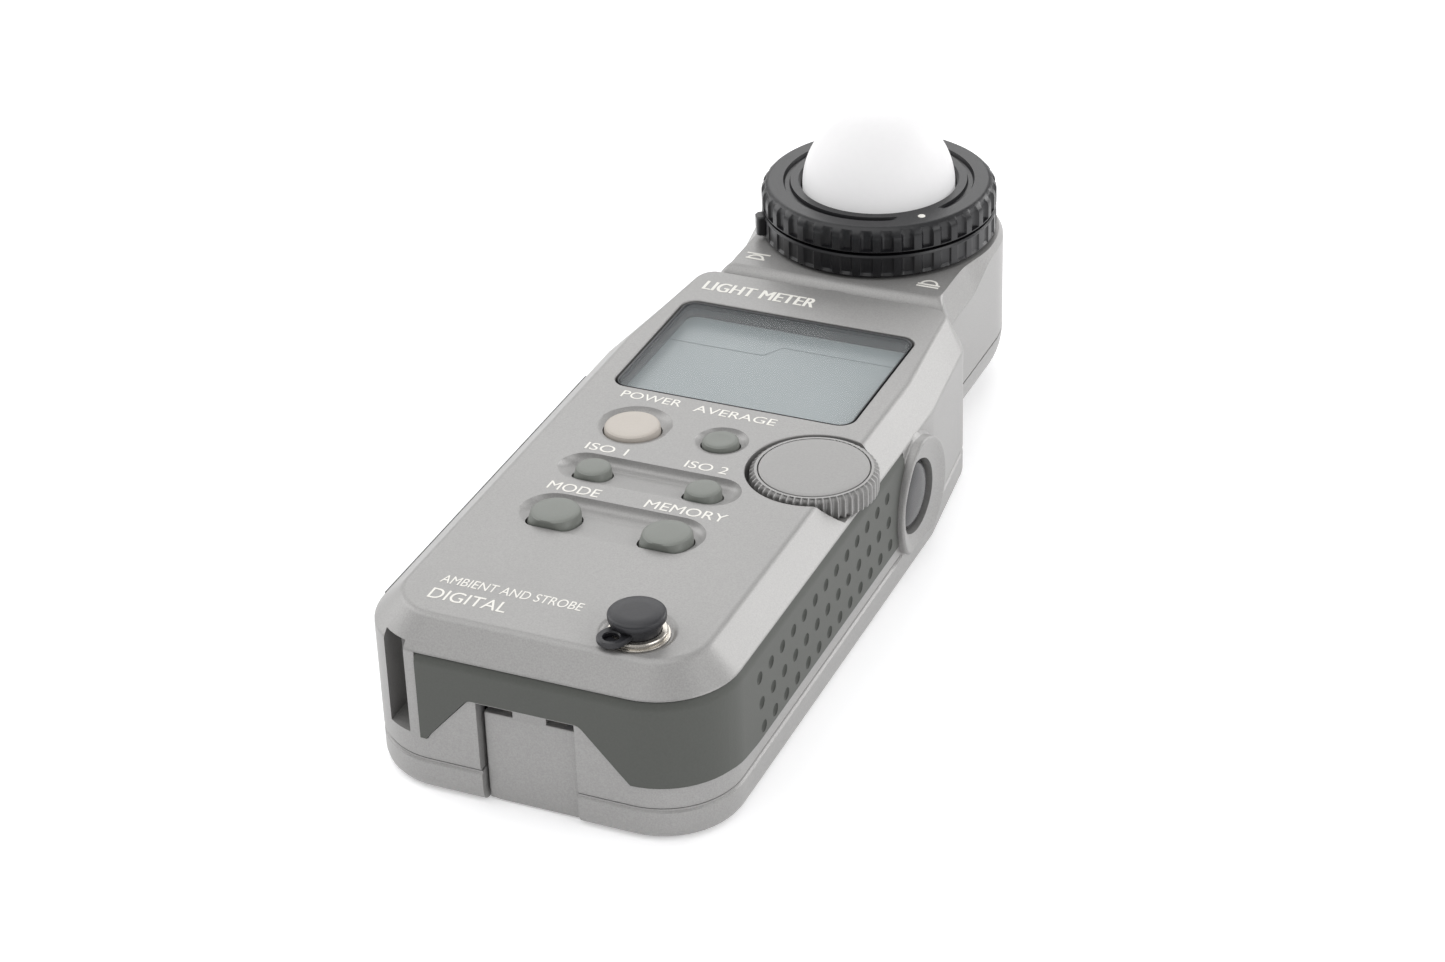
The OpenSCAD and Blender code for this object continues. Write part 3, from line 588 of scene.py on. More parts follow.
def boss_ring(inset, x, steps=192):
    """Outline of the boss at one x: a circle cut on its -Y side by a larger one, corners eased."""
    away = (measure_at[1] - boss_edge[1], measure_at[2] - boss_edge[2])
    ease = 9
    ring = []
    for i in range(steps):
        c, s = cos(2 * pi * i / steps), sin(2 * pi * i / steps)
        along = c * away[0] + s * away[1]
        reach = sqrt(along ** 2 - hypot(*away) ** 2 + boss_edge_r ** 2) - along
        r = (boss_r ** -ease + reach ** -ease) ** (-1 / ease) - inset
        ring.append((x, measure_at[1] + r * c, measure_at[2] + r * s))
    return ring


def add_boss(shell):
    """Raised and dished boss round the measuring button."""
    steps = [(-0.9, half_w - 4), (-0.5, half_w + 0.2), (0, half_w + 0.8), (0, boss_x - 0.45),
             (0.08, boss_x - 0.2), (0.22, boss_x - 0.05), (0.4, boss_x), (0.6, boss_x - 0.05),
             (1.6, boss_x - 0.35), (3, boss_x - 0.8)]
    boss = loft([boss_ring(inset, x) for inset, x in steps])
    piece = make("boss", turn_about(boss, boss_hinge, (0, 0, 1), boss_tilt))
    keep(piece, block((0, -half_l, seam_z + 0.4), (far, half_l, face_z - 0.4)))
    add(shell, as_solid(piece))


def hollow(shell):
    """Inner space of the shell, then the posts and wells that stand in it."""
    cut(shell, loft([[(x, y, z) for x, y in body_outline(inset, wall)]
                     for inset, z in ((wall, seam_z - 1), (wall, sill_z - 1), (wall + 3.3, plate_z))]))
    plate_root = plate_z + 0.5
    post_r = 2.8
    wheel_well_r = 11.8
    inside = [rod(p, post_r, seam_z, plate_root) for p in post_places]
    inside.append(rod(jog_at, wheel_well_r, wheel_floor_z - 1.2, plate_root))
    inside.append(block((-half_w, -half_l, seam_z), (-17.1, -44.9, plate_root)))
    inside.append(rod(measure_at, 7.3, half_w - 4, half_w - 1, "X"))
    for solid in inside:
        piece = make("inside", solid)
        keep(piece, loft([[(x, y, z) for x, y in body_outline(inset, wall)]
                          for inset, z in ((wall - 0.5, seam_z), (wall - 0.5, sill_z + 0.8),
                                           (wall + 0.9, plate_root))]))
        add(shell, as_solid(piece))


def cut_side_openings(shell):
    """Recesses of the grips, strap eyelet through the lower left corner, hole for the battery tab."""
    recess = [(-1, grip_z - 0.05), (-1, sill_z)]
    cut(shell, as_solid(right_space(recess, grip_depth, 0)), as_solid(left_space(recess, grip_depth, 0)))
    slot_x = (-22.8, -18.8)
    slot_z = (9.4, 24.5)
    slot_y = -46.5
    cut(shell, block((slot_x[0], -half_l - 1, slot_z[0]), (slot_x[1], slot_y, slot_z[1])),
        block((-half_w - 1, -50, slot_z[0]), (slot_x[1], slot_y, sill_z - 0.6)),
        block((-7.7, -half_l - 1, seam_z - 1), (7.6, -half_l + wall + 1, 17.2)))


def cut_key_places(shell):
    """Dishes of the power and average keys, grooves of the key pairs, and a hole for each key."""
    p, a = middle("power_button"), middle("average_button")
    cut(shell, scoop(p.x, p.x, p.y + 0.6, 6.0, 1.2, 0.3), scoop(a.x, a.x, a.y + 0.3, 4.25, 1.1, 0.3))
    groove_x = (-17.2, 12.4)
    for node, r, lift in (("speed_1_button", 4.1, 0.6), ("mode_button", 5.2, 0.8)):
        first = middle(node)
        cut(shell, scoop(groove_x[0] + r, groove_x[1] - r, first.y + lift, r, 1.3))
    for node, (flat, _, _) in keys.items():
        outline = key_outline(middle(node), key_radius(node), 0.22, flat, 0.8)
        cut(shell, slab(outline, plate_z - 3, face_z + 1))


def build_front_shell():
    profile = rounded([(0.25, seam_z), (0.25, seam_z + 0.35), (0, seam_z + 0.5), (0, sill_z, 0.35),
                       (chamfer_w, face_z, 0.7), (chamfer_w + 3, face_z)])[:-1]
    shell = make("front_shell_piece", loft(body_rings(profile, 0.3)))
    add_boss(shell)
    # index mark of the head, on the upper edge
    add(shell, ball((1.9, half_l - 0.05, face_z - 0.5), (2.6, 0.6, 0.45)))
    hollow(shell)
    cut_side_openings(shell)
    window = span("display_window")
    at = middle("display_window")
    cut(shell, flared(lambda grow: rectangle(window.x + 0.7 + 2 * grow, window.y + 0.7 + 2 * grow,
                                             2.6 + grow, at), plate_z - 1, 0.22))
    cut_key_places(shell)
    cut(shell, flared(lambda grow: key_outline(jog_at, 10.45, grow), wheel_floor_z, 0.2))
    cut(shell, rod(jog_at, 1.55, wheel_floor_z - 3, wheel_floor_z + 1))
    sync_hole = [(4.34, plate_z - 1), (4.34, face_z - 0.55), (5.0, face_z - 0.55, 0.3),
                 (5.45, face_z - 0.15, 0.2), (5.9, face_z + 0.01), (5.9, face_z + 1)]
    cut(shell, turned(rounded(sync_hole), sync_at))
    button_hole = rod(measure_at, 6.1, half_w - 6, boss_x + 2, "X", 128)
    cut(shell, turn_about(button_hole, boss_hinge, (0, 0, 1), boss_tilt))
    cut(shell, rod((0, 0, swivel_z), 4.65, half_l - wall - 1, half_l + 1, "Y"))
    show(shell, "body", paint, "shell", "front_shell")


def build_grips():
    bottom, top = grip_z + 0.05, sill_z - 0.14
    outer = {
        "right": rounded([(grip_depth, bottom), (-grip_proud, bottom, 0.4), (-grip_proud, top - 0.9, 0.6),
                          (0.3, top, 0.15), (grip_depth, top)]),
        "left": rounded([(grip_depth, bottom), (-left_grip_proud, bottom, 0.4),
                         (-left_grip_proud, top - 0.1, 0.3), (grip_depth, top)]),
    }
    # three rows of dimples, each a little further along than the one above and rising to the head
    rows = (18.65, 14.1, 9.75)
    first_y, pitch = -39.3, 4.18
    lean, rise = 0.12, 0.017
    for side, space in (("right", right_space), ("left", left_space)):
        grip = space(outer[side], grip_depth - 0.02, 0.1)
        grip.name = side + "_grip_piece"
        sign = 1 if side == "right" else -1
        dimples = []
        count = 13 if side == "right" else 14
        for z in rows:
            for i in range(count):
                y = first_y + pitch * i + (rows[0] - z) * lean
                at = (sign * (half_w + grip_proud), y, z + 0.2 + rise * (y - first_y))
                dimples.append(ball(at, (0.55, 0.98, 0.98), 12))
        cut(grip, joined(*dimples))
        show(grip, "body", rubber, "grip_rubber", side + "_grip")


def build_rear_cover():
    profile = [(1.9, 0), (1.2, 0.12), (0.6, 0.45), (0.2, 1.0), (0, 1.8), (0, cover_z - 0.62),
               (0.28, cover_z - 0.36), (0.28, cover_z - 0.05)]
    cover = make("rear_cover_piece", loft(body_rings(profile)))
    cut(cover, slab(body_outline(wall), 2, far))
    # boss of the tripod bush, screw posts
    add(cover, rod((0, 0), 6.2, 1, 8.6))
    for p in post_places:
        add(cover, rod(p, 2.9, 1, cover_z))
    # hinge knuckles either side of the door's lug, opening for the door and its tab
    hinge = middle("cover_hinge_pin")
    reach = span("cover_hinge_pin").x / 2
    door_lug = 6.2
    knuckles = [rod(hinge, 1.5, door_lug, reach + 1, "X"), rod(hinge, 1.5, -reach - 1, -door_lug, "X")]
    add(cover, *knuckles)
    opening = make("opening", block((-reach - 0.2, -53.2, -1), (reach + 0.2, hinge.y + 2.4, seam_z)))
    add(opening, block((-tab_hole_w, -half_l - 1, -1), (tab_hole_w, -53, seam_z + 1)))
    cut(opening, *knuckles)
    cut(cover, as_solid(opening))
    cut(cover, rod(hinge, 0.7, -reach, reach, "X"), rod((0, 0), 4.62, -1, 9))
    for p in post_places:
        cut(cover, rod(p, 1.1, -1, 6), turned([(2.4, -1), (2.4, 0), (2.1, 0.3), (2.1, 1.8)], p))
    show(cover, "body", paint, "shell", "rear_cover")


def build_battery_cover():
    a, b = low("battery_cover"), high("battery_cover")
    tab_top = b.z - 1.5
    tab_y = a.y
    door_z = (a.z, a.z + 1.85)
    door_low_y = -53
    hinge = middle("cover_hinge_pin")
    lug = 6
    # the tab in the lower end, its outline seen from that end
    outline = rounded([(0, tab_top), (-tab_w, tab_top, 0.4), (-tab_w, door_z[0], 1.6),
                       (tab_w, door_z[0], 0.5), (tab_w, tab_top, 0.4), (0, tab_top)])[:-1]
    middle_z = 8
    rings = []
    for inset, depth in ((0.35, 0), (0.1, 0.12), (0, 0.35), (0, 1.6)):
        rings.append([(x * (1 - inset / tab_w), tab_y + depth, z + (inset if z < middle_z else -inset))
                      for x, z in outline])
    cover = make("battery_cover_piece", loft(rings))
    add(cover, block((-tongue_w, tab_y + 0.1, 14), (tongue_w, tab_y + 1.6, b.z)))
    add(cover, block((-tab_w, tab_y + 0.4, door_z[0]), (tab_w, door_low_y + 1, door_z[1])))
    # the door itself, its lug on the hinge pin and the grooves that the thumb pushes
    door_w = 20
    door_high_y = hinge.y - 2
    door_at = (0, (door_high_y + door_low_y) / 2)
    plate = [[(x, y, z) for x, y in rectangle(door_w - 2 * i, door_high_y - door_low_y - 2 * i, 0.8, door_at)]
             for i, z in ((0.3, door_z[0]), (0, door_z[0] + 0.3), (0, door_z[1]))]
    add(cover, loft(plate))
    add(cover, block((-lug, hinge.y - 3, 0.7), (lug, hinge.y, door_z[1])), rod(hinge, 1.5, -lug, lug, "X"))
    cut(cover, rod(hinge, 0.75, -lug - 1, lug + 1, "X"))
    for i in range(5):
        cut(cover, slab(stadium(-4.5, 4.5, -50.5 + 1.6 * i, 0.4), -1, door_z[0] + 0.35))
    show(cover, "battery_cover", paint, "shell", "battery_cover")


# ---------------- display

def stroke(line, width, z, thick=0.04):
    """Flat band of a given width along an open line, as a solid."""
    sides = []
    for i, (x, y) in enumerate(line):
        before = line[max(i - 1, 0)]
        after = line[min(i + 1, len(line) - 1)]
        dx, dy = after[0] - before[0], after[1] - before[1]
        size = hypot(dx, dy) or 1
        sides.append((-dy / size * width / 2, dx / size * width / 2))
    rings = []
    for (x, y), (u, v) in zip(line, sides):
        rings.append([(x - u, y - v, z), (x + u, y + v, z),
                      (x + u, y + v, z + thick), (x - u, y - v, z + thick)])
    return loft(rings)


def build_display():
    window = span("display_window")
    at = middle("display_window")
    panel_z = high("display_panel").z
    frame_top = face_z - 0.2
    ledge_z = face_z - 1

    def opening(rim, z):
        """Outline of the window, drawn in by a rim."""
        return [(x, y, z) for x, y in rectangle(window.x - 2 * rim, window.y - 2 * rim, 2.4 - rim, at)]

    bezel = make("display_bezel_piece", loft([opening(0, panel_z), opening(0, frame_top)]))
    cut(bezel, loft([opening(0.5, panel_z - 1), opening(0.5, ledge_z), opening(0.3, ledge_z + 0.01),
                     opening(0.3, frame_top - 0.15), opening(0.12, frame_top + 0.01), opening(0.12, far)]))
    show(bezel, "body", bezel_plastic, "bezel", "display_bezel")
    pane = make("display_window_piece", loft([opening(0.34, ledge_z + 0.03), opening(0.34, frame_top - 0.2),
                                              opening(0.42, frame_top - 0.14)]))
    show(pane, "body", glass, "window", "display_window")
    # the line across the display, with its step
    step = [(-19.4, 37.0), (-2.9, 37.0, 0.6), (-0.9, 40.4, 0.6), (19.4, 40.4)]
    line = make("display_line", stroke(rounded(step, 4), 0.16, panel_z + 0.005))
    show(line, "body", lcd_line, "display")


# ---------------- keys and setting wheel

def build_keys():
    for node, (flat, finish, slot) in keys.items():
        at, r = middle(node), key_radius(node)
        top, base = high(node).z, low(node).z
        # growth of the outline, height under the top and squareness, from the flange up to the middle
        crown = (0.04, 0.05) if flat else (-0.04, -0.06)
        steps = [(0, flange_z[0] - top, 0.7), (0, -1.4, 0.7), (-0.02, -0.8, 0.35), (-0.08, -0.4, 0),
                 (-0.2, -0.18, 0), (-0.45, -0.05, 0), (-0.7, 0, 0), (-r * 0.5, crown[0], 0),
                 (-r * 0.85, crown[1], 0)]
        rings = [[(x, y, top + z) for x, y in key_outline(at, r, grow, flat, square)]
                 for grow, z, square in steps]
        key = make(node + "_piece", loft(rings))
        add(key, rod(at, r + flange, *flange_z), rod(at, 1.2, base, 25))
        show(key, node, finish, slot, node)


def build_jog():
    a, b = low("jog_wheel"), high("jog_wheel")
    r = span("jog_wheel").x / 2
    teeth = 54
    tooth = 0.62

    def toothed(radius, angle, height):
        """Round grooves between the teeth, round the rim only."""
        if radius < r - 0.75:
            return radius
        phase = (angle * teeth / (2 * pi)) % 1
        dip = sqrt(max(0.0, 1 - ((phase - 0.5) / 0.35) ** 2))
        return radius - tooth * dip

    profile = rounded([(r - 1.2, a.z), (r - 0.15, a.z + 0.1, 0.2), (r, a.z + 0.5, 0.2), (r, b.z - 0.55, 0.3),
                       (r - 0.74, b.z - 0.02), (r - 0.8, b.z)])
    wheel = make("jog_wheel_piece", turned(profile, jog_at, steps=teeth * 12, radius=toothed))
    inlay_r = span("jog_inlay").x / 2
    inlay_z = b.z - 0.8
    cut(wheel, rod(jog_at, inlay_r + 0.2, inlay_z, b.z + 1, steps=128), rod(jog_at, 1.5, a.z - 1, a.z + 2))
    show(wheel, "setting_wheel", paint, "wheel", "jog_wheel", sharp=40)
    top = high("jog_inlay").z
    disc = rounded([(0, inlay_z), (inlay_r, inlay_z), (inlay_r, top - 0.05, 0.12), (inlay_r - 1, top),
                    (0, top)])
    inlay = make("jog_inlay_piece", turned(disc, jog_at, steps=128))
    show(inlay, "setting_wheel", inlay_paint, "wheel", "jog_inlay")


def build_measuring_button():
    a, b = low("measuring_button"), high("measuring_button")
    r = span("measuring_button").y / 2 - 0.1
    top = b.x - 0.1
    back = b.x - 3.1
    stem_r = 1.3
    stem_x = a.x + 0.62
    crown = [(r * k / 24, top - 1.5 * (1 - sqrt(1 - min(0.98, k / 24) ** 3))) for k in range(25)]
    side = [(r, top - 1.6), (r, back), (stem_r, back), (stem_r, stem_x), (0, stem_x)]
    solid = turned(crown + side, measure_at, "X", 128)
    button = make("measuring_button_piece", turn_about(solid, boss_hinge, (0, 0, 1), boss_tilt))
    show(button, "measuring_button", gloss_black, "black_gloss", "measuring_button")


# ---------------- sync terminal

def build_sync():
    a, b = low("sync_barrel"), high("sync_barrel")
    r = span("sync_barrel").x / 2
    bore = r - 1
    collar = r + 0.35
    ring = [(bore, a.z), (r, a.z), (r, face_z - 0.5), (collar, face_z - 0.48, 0.05),
            (collar, face_z - 0.25, 0.1), (r, face_z - 0.2), (r, b.z - 0.2, 0.12), (r - 0.15, b.z),
            (r - 0.85, b.z, 0.1), (bore, b.z - 0.15)]
    barrel = make("sync_barrel_piece", turned(rounded(ring), sync_at))
    cut(barrel, rod(sync_at, bore, a.z - 1, b.z + 1))
    show(barrel, "body", nickel, "contact_metal", "sync_barrel")

    c = high("sync_cap").z
    disc_r = 4.2
    neck = r - 0.9
    plug_z = 25.9
    profile = [(0, plug_z), (r - 1.15, plug_z), (r - 1.1, b.z + 0.05), (neck, b.z + 0.06),
               (neck, c - 1.5), (disc_r - 0.1, c - 1.3, 0.1), (disc_r, c - 0.9, 0.2),
               (disc_r, c - 0.25, 0.3), (disc_r - 0.6, c), (disc_r * 0.5, c + 0.03), (0, c + 0.04)]
    cap = make("sync_cap_piece", turned(rounded(profile), sync_at))
    # tether with its eyelet, from the neck down to the left
    eye = (sync_at.x - 1.85, sync_at.y - 4.1)
    eye_r = 2.35
    slope = 0.02
    lean = atan2(eye[1] - sync_at.y, eye[0] - sync_at.x)
    reach = hypot(eye[0] - sync_at.x, eye[1] - sync_at.y)
    plan = arc(reach, 0, eye_r, -98, 98, 24) + arc(1.4, 0, 1.8, 98, 262, 12)
    z0 = 28.4
    rings = []
    for inset, z in ((0.25, z0), (0, z0 + 0.22), (0, z0 + 0.65), (0.25, z0 + 0.87)):
        ring = []
        for x, y in plan:
            size = hypot(x - reach, y) or 1
            u, v = x - inset * (x - reach) / size, y - inset * y / size
            ring.append((sync_at.x + u * cos(lean) - v * sin(lean),
                         sync_at.y + u * sin(lean) + v * cos(lean), z - slope * u))
        rings.append(ring)
    add(cap, loft(rings))
    hole = (eye[0] - 0.12, eye[1] - 0.3)
    hole_r = 1.15
    cut(cap, turned([(1.3, z0 - 0.08), (hole_r, z0 + 0.15), (hole_r, z0 + 0.6), (1.4, z0 + 0.9),
                     (1.4, z0 + 1.0)], hole))
    show(cap, "sync_cap", cap_rubber, "cap_rubber", "sync_cap")


# ---------------- head

# axis of the rings and the dome, lower edge and round end of the head, its seam and its back
ring_at = middle("retract_ring")
head_y0 = low("head_front").y
head_r = high("head_front").x
head_seam = low("head_front").z
head_base = low("head_rear").z
# slope from the side wall up to the front plate: beside the body, round the rings, and at the lower edge
plate_inset = 2.5
rim_inset = 0.7
ledge = 3.3
head_posts = ((14.5, 63.5), (-14.5, 63.5), (11, 95.8), (-11, 95.8))
lug_angle = 212


def smooth(t):
    """Share from 0 to 1 with soft ends."""
    t = min(max(t, 0), 1)
    return t * t * (3 - 2 * t)


def head_outline(fine=20):
    """Side wall of the head: a straight lower edge, two straight sides and a round end."""
    corner = 1.4
    side = [(head_r, head_y0 + corner + (ring_at.y - head_y0 - corner) * i / fine) for i in range(1, fine)]
    edge = [(-head_r + corner + (2 * head_r - 2 * corner) * i / fine, head_y0) for i in range(1, fine)]
    return (arc(-head_r + corner, head_y0 + corner, corner, 180, 270, 6) + edge
            + arc(head_r - corner, head_y0 + corner, corner, 270, 360, 6) + side
            + arc(ring_at.x, ring_at.y, head_r, 0, 180, 60) + [(-x, y) for x, y in reversed(side)])


def plate_point(x, y, q):
    """A point of the side wall moved a share q of the way up the slope to the front plate."""
    straight = smooth((ring_at.y - 1 - y) / 12)
    inset = rim_inset + (plate_inset - rim_inset) * straight
    height = 1.2 + 2.9 * straight
    near = smooth((head_y0 + 1.6 - y) / 1.4)
    if y > ring_at.y:
        shrink = (head_r - inset * q) / head_r
        px, py = x * shrink, ring_at.y + (y - ring_at.y) * shrink
    else:
        px = x * (head_r - inset * q) / head_r
        py = ring_at.y - (ring_at.y - y) * (ring_at.y - head_y0 - ledge * q) / (ring_at.y - head_y0)
    round_up = sqrt(max(0, 1 - (1 - q) ** 2))
    share = q + (round_up - q) * near
    return px, py, face_z - height * (1 - share) - 0.9 * near * (1 - share)


def build_head_front():
    outline = head_outline()
    rings = [[(x * 0.988, y + 0.25, head_seam) for x, y in outline],
             [(x, y, head_seam + 0.25) for x, y in outline]]
    rings += [[plate_point(x, y, q) for x, y in outline]
              for q in (0, 0.04, 0.12, 0.25, 0.4, 0.55, 0.7, 0.82, 0.91, 0.97, 1)]
    front = make("head_front_piece", loft(rings))
    inner = [(x * 0.9, ring_at.y + (y - ring_at.y) * 0.9) for x, y in outline]
    cut(front, slab(inner, head_seam - 1, plate_z))
    for p in head_posts:
        add(front, rod(p, 2, head_seam + 0.1, plate_z + 0.5))
    cut(front, rod(ring_at, 14.42, plate_z - 1, face_z + 1, steps=128),
        rod((0, 0, swivel_z), 4.62, head_y0 - 1, head_y0 + 3, "Y"))
    show(front, "head", paint, "shell", "head_front")


def build_head_rear():
    outline = head_outline()
    deep = head_seam - 0.1 - head_base
    back_r = 6.5
    rings = []
    for k in range(11):
        t = k / 10 * pi / 2
        inset, z = back_r * (1 - sin(t)), head_base + deep * (1 - cos(t))
        round_end = (head_r - inset) / head_r
        straight_end = (ring_at.y - head_y0 - 0.3 * inset) / (ring_at.y - head_y0)
        rings.append([(x * round_end,
                       ring_at.y + (y - ring_at.y) * (round_end if y > ring_at.y else straight_end), z)
                      for x, y in outline])
    rings.append([(x * 0.988, y, head_seam - 0.02) for x, y in outline])
    rear = make("head_rear_piece", loft(rings))
    inner = []
    for scale, z in ((0.62, head_base + 2), (0.8, head_base + 3.6), (0.9, 6), (0.905, head_seam + 1)):
        inner.append([(x * scale, ring_at.y + (y - ring_at.y) * scale, z) for x, y in outline])
    cut(rear, loft(inner))
    for p in head_posts:
        post = make("post", rod(p, 2.4, head_base, head_seam - 0.1))
        keep(post, loft(rings))
        add(rear, as_solid(post))
    for p in head_posts:
        cut(rear, rod(p, 0.85, -1, head_seam + 1), rod(p, 1.6, -1, 6))
    cut(rear, rod((0, 0, swivel_z), 7.2, head_y0 + 1.9, head_y0 + 4.9, "Y"))
    show(rear, "head", paint, "shell", "head_rear")


flute_count = 36


def flute(angle, width):
    """Depth share of the flute at an angle round a ring, with a flat bottom of about the given width."""
    phase = (angle * flute_count / (2 * pi)) % 1
    return max(0.0, 1 - ((phase - 0.5) / width) ** 4) ** 0.5


def build_retract_ring():
    a, b = low("retract_ring"), high("retract_ring")
    r = span("retract_ring").x / 2
    fluted_top = b.z - 0.75

    def fluted(radius, angle, height):
        """Flutes in the rim, fading out under its rounded top."""
        if radius < r - 1.1 or height < a.z + 0.41:
            return radius
        fade = min(1.0, max(0.0, (fluted_top - height) / 0.5))
        return radius - 0.62 * flute(angle, 0.27) * sqrt(fade)

    profile = rounded([(r - 1.5, a.z), (r - 0.35, a.z, 0.2), (r, a.z + 0.25), (r, a.z + 0.4),
                       (r, a.z + 0.45), (r, a.z + 1.2), (r, b.z - 2.2),
                       (r, b.z - 1.7), (r - 0.08, b.z - 1.3), (r - 0.3, b.z - 0.9), (r - 0.75, b.z - 0.4),
                       (r - 1.2, b.z - 0.1), (r - 1.6, b.z)], 3)
    ring = make("retract_ring_piece", turned(profile, ring_at, steps=flute_count * 16, radius=fluted))
    lip = 13.2
    cut(ring, turned(rounded([(14.6, a.z - 1), (14.6, b.z - 1.2), (lip, b.z - 1.2), (lip, b.z - 0.35, 0.2),
                              (lip + 0.35, b.z + 0.02), (lip + 0.35, b.z + 1)]), ring_at, steps=144))
    # open groove round the top face, left out near the white dot
    dot_angle = -43
    gap = 14
    groove = []
    for k in range(121):
        share = k / 120
        angle = radians(dot_angle + gap + (360 - 2 * gap) * share)
        fade = min(1.0, min(share, 1 - share) / 0.02)
        section = [(14.75, 0.3), (15.05, -0.6 * fade), (15.8, -0.6 * fade), (16.25, 0.3)]
        groove.append([(ring_at.x + s * cos(angle), ring_at.y + s * sin(angle), b.z + h) for s, h in section])
    cut(ring, loft(groove))
    show(ring, "retract_ring", ring_plastic, "black_plastic", "retract_ring", sharp=30)
    dot_out, dot_r = 16.1, 0.62
    dot = (ring_at.x + dot_out * cos(radians(dot_angle)), ring_at.y + dot_out * sin(radians(dot_angle)))
    mark = make("ring_dot", turned([(dot_r, b.z - 0.1), (dot_r, b.z + 0.02), (0.45, b.z + 0.08),
                                    (0, b.z + 0.1)], dot, steps=32))
    show(mark, "retract_ring", print_white, "white_plastic")


def build_lock_ring():
    a, b = low("lock_ring"), high("lock_ring")
    r = span("retract_ring").x / 2

    def ribbed(radius, angle, height):
        """Shallower flutes in the rim, between two plain bands."""
        if radius < r - 0.5 or height < a.z + 0.7 or height > b.z - 0.46:
            return radius
        return radius - 0.35 * flute(angle, 0.3)

    profile = rounded([(r - 1.2, a.z), (r - 0.3, a.z, 0.2), (r, a.z + 0.3), (r, a.z + 0.72), (r, a.z + 0.9),
                       (r, b.z - 0.5), (r, b.z - 0.45), (r, b.z - 0.3), (r - 0.2, b.z), (r - 2, b.z)], 3)
    lock = make("lock_ring_piece", turned(profile, ring_at, steps=flute_count * 16, radius=ribbed))
    cut(lock, rod(ring_at, 14.6, a.z - 1, b.z + 1, steps=144))
    lug_at = (ring_at.x + r - 0.5, ring_at.y)
    lug = loft([[(x, y, z) for x, y in rectangle(3.6 - g, 2.6 - g, 0.7, lug_at)]
                for g, z in ((0.4, a.z + 0.4), (0, a.z + 0.6), (0, b.z - 0.25), (0.4, b.z))])
    add(lock, turn_about(lug, ring_at, (0, 0, 1), lug_angle))
    show(lock, "lock_ring", ring_plastic, "black_plastic", "lock_ring", sharp=30)


def build_dome():
    b = high("dome")
    r = span("dome").x / 2
    centre_z = b.z - r
    skirt = low("dome").z
    thick = 1.2

    def bowl(radius, bottom, steps):
        """Profile of a half ball on a straight skirt."""
        turns = [pi / 2 * k / steps for k in range(steps + 1)]
        return [(radius, bottom)] + [(radius * cos(t), centre_z + radius * sin(t)) for t in turns]

    dome = make("dome_piece", turned(bowl(r, skirt, 40), ring_at, steps=160))
    cut(dome, turned(bowl(r - thick, skirt - 1, 24), ring_at, steps=96))
    show(dome, "receptor", opal_painted_glow, "diffuser", "dome", sharp=60)


# ---------------- printed marks

def print_label(name, words, left, right, baseline, cap, bold):
    """Generic printed word on the front face, fitted between two places."""
    curve = bpy.data.curves.new(name, "FONT")
    curve.body = words
    curve.size = 10
    curve.extrude = 0.15
    text = bpy.data.objects.new("text", curve)
    bpy.context.scene.collection.objects.link(text)
    bpy.context.view_layer.update()
    graph = bpy.context.evaluated_depsgraph_get()
    mesh = bpy.data.meshes.new_from_object(text.evaluated_get(graph))
    bpy.data.objects.remove(text)
    xs = [v.co.x for v in mesh.vertices]
    ys = [v.co.y for v in mesh.vertices]
    wide = (right - left - bold) / (max(xs) - min(xs))
    tall = cap / (max(ys) - min(ys))
    place = Matrix.Translation((left - min(xs) * wide, baseline - min(ys) * tall, face_z + 0.005))
    mesh.transform(place @ Matrix.Diagonal((wide, tall, 0.2, 1)))
    piece = bpy.data.objects.new(name, mesh)
    bpy.context.scene.collection.objects.link(piece)
    letters = as_solid(piece)
    # bold letters are struck twice, the second time a little to the right and higher
    strokes = []
    for shift in (0, bold) if bold else (0,):
        strokes.append(([(x + shift, y, z + shift / 50) for x, y, z in letters[0]], letters[1]))
    show(make(name, joined(*strokes)), "body", print_white, "white_plastic")


def build_labels():
    # name, words, left end, right end, baseline, height of the capitals, bold shift
    labels = [
        ("label_title", "LIGHT METER", -19.4, 0.3, 50.2, 3.0, 0.2),
        ("label_power", "POWER", -17.0, -6.9, 13.0, 1.95, 0),
        ("label_average", "AVERAGE", -4.5, 9.1, 12.6, 1.95, 0),
        ("label_speed_1", "ISO 1", -15.4, -8.6, -3.5, 2.0, 0),
        ("label_speed_2", "ISO 2", 1.0, 7.9, -3.3, 2.0, 0),
        ("label_mode", "MODE", -15.8, -7.4, -16.0, 2.2, 0),
        ("label_memory", "MEMORY", 0.1, 13.0, -16.0, 2.2, 0),
        ("label_line_1", "AMBIENT AND STROBE", -18.8, 3.4, -44.8, 2.0, 0),
        ("label_line_2", "DIGITAL", -18.7, -6.5, -49.0, 2.6, 0),
    ]
    for label in labels:
        print_label(*label)


def build_icons():
    z = face_z + 0.005
    width = 0.4

    def bar(x, y, half, height):
        return stroke([(x - half, y), (x + half, y)], width, height)

    # dome drawn in: a dome on its base line, below a longer bar
    x, y = -15.2, 62.9
    bowl = [(x + px, y + 0.2 + py) for px, py in arc(0, 0, 1.3, 0, 180, 16)]
    drawn_in = joined(stroke(bowl, width, z), bar(x, y + 0.2, 1.7, z + 0.002), bar(x, y + 1.95, 2.1, z))
    show(make("icon_dome_in", drawn_in), "head", print_white, "white_plastic")
    # dome standing out: a dome on two bars
    x, y = 15.3, 63.3
    crown = [(x + px, y + 0.9 + py) for px, py in arc(0, 0, 1.35, 0, 180, 16)]
    out = joined(stroke(crown, width, z), bar(x, y + 0.85, 1.9, z + 0.002), bar(x, y + 0.15, 1.9, z))
    show(make("icon_dome_out", out), "head", print_white, "white_plastic")


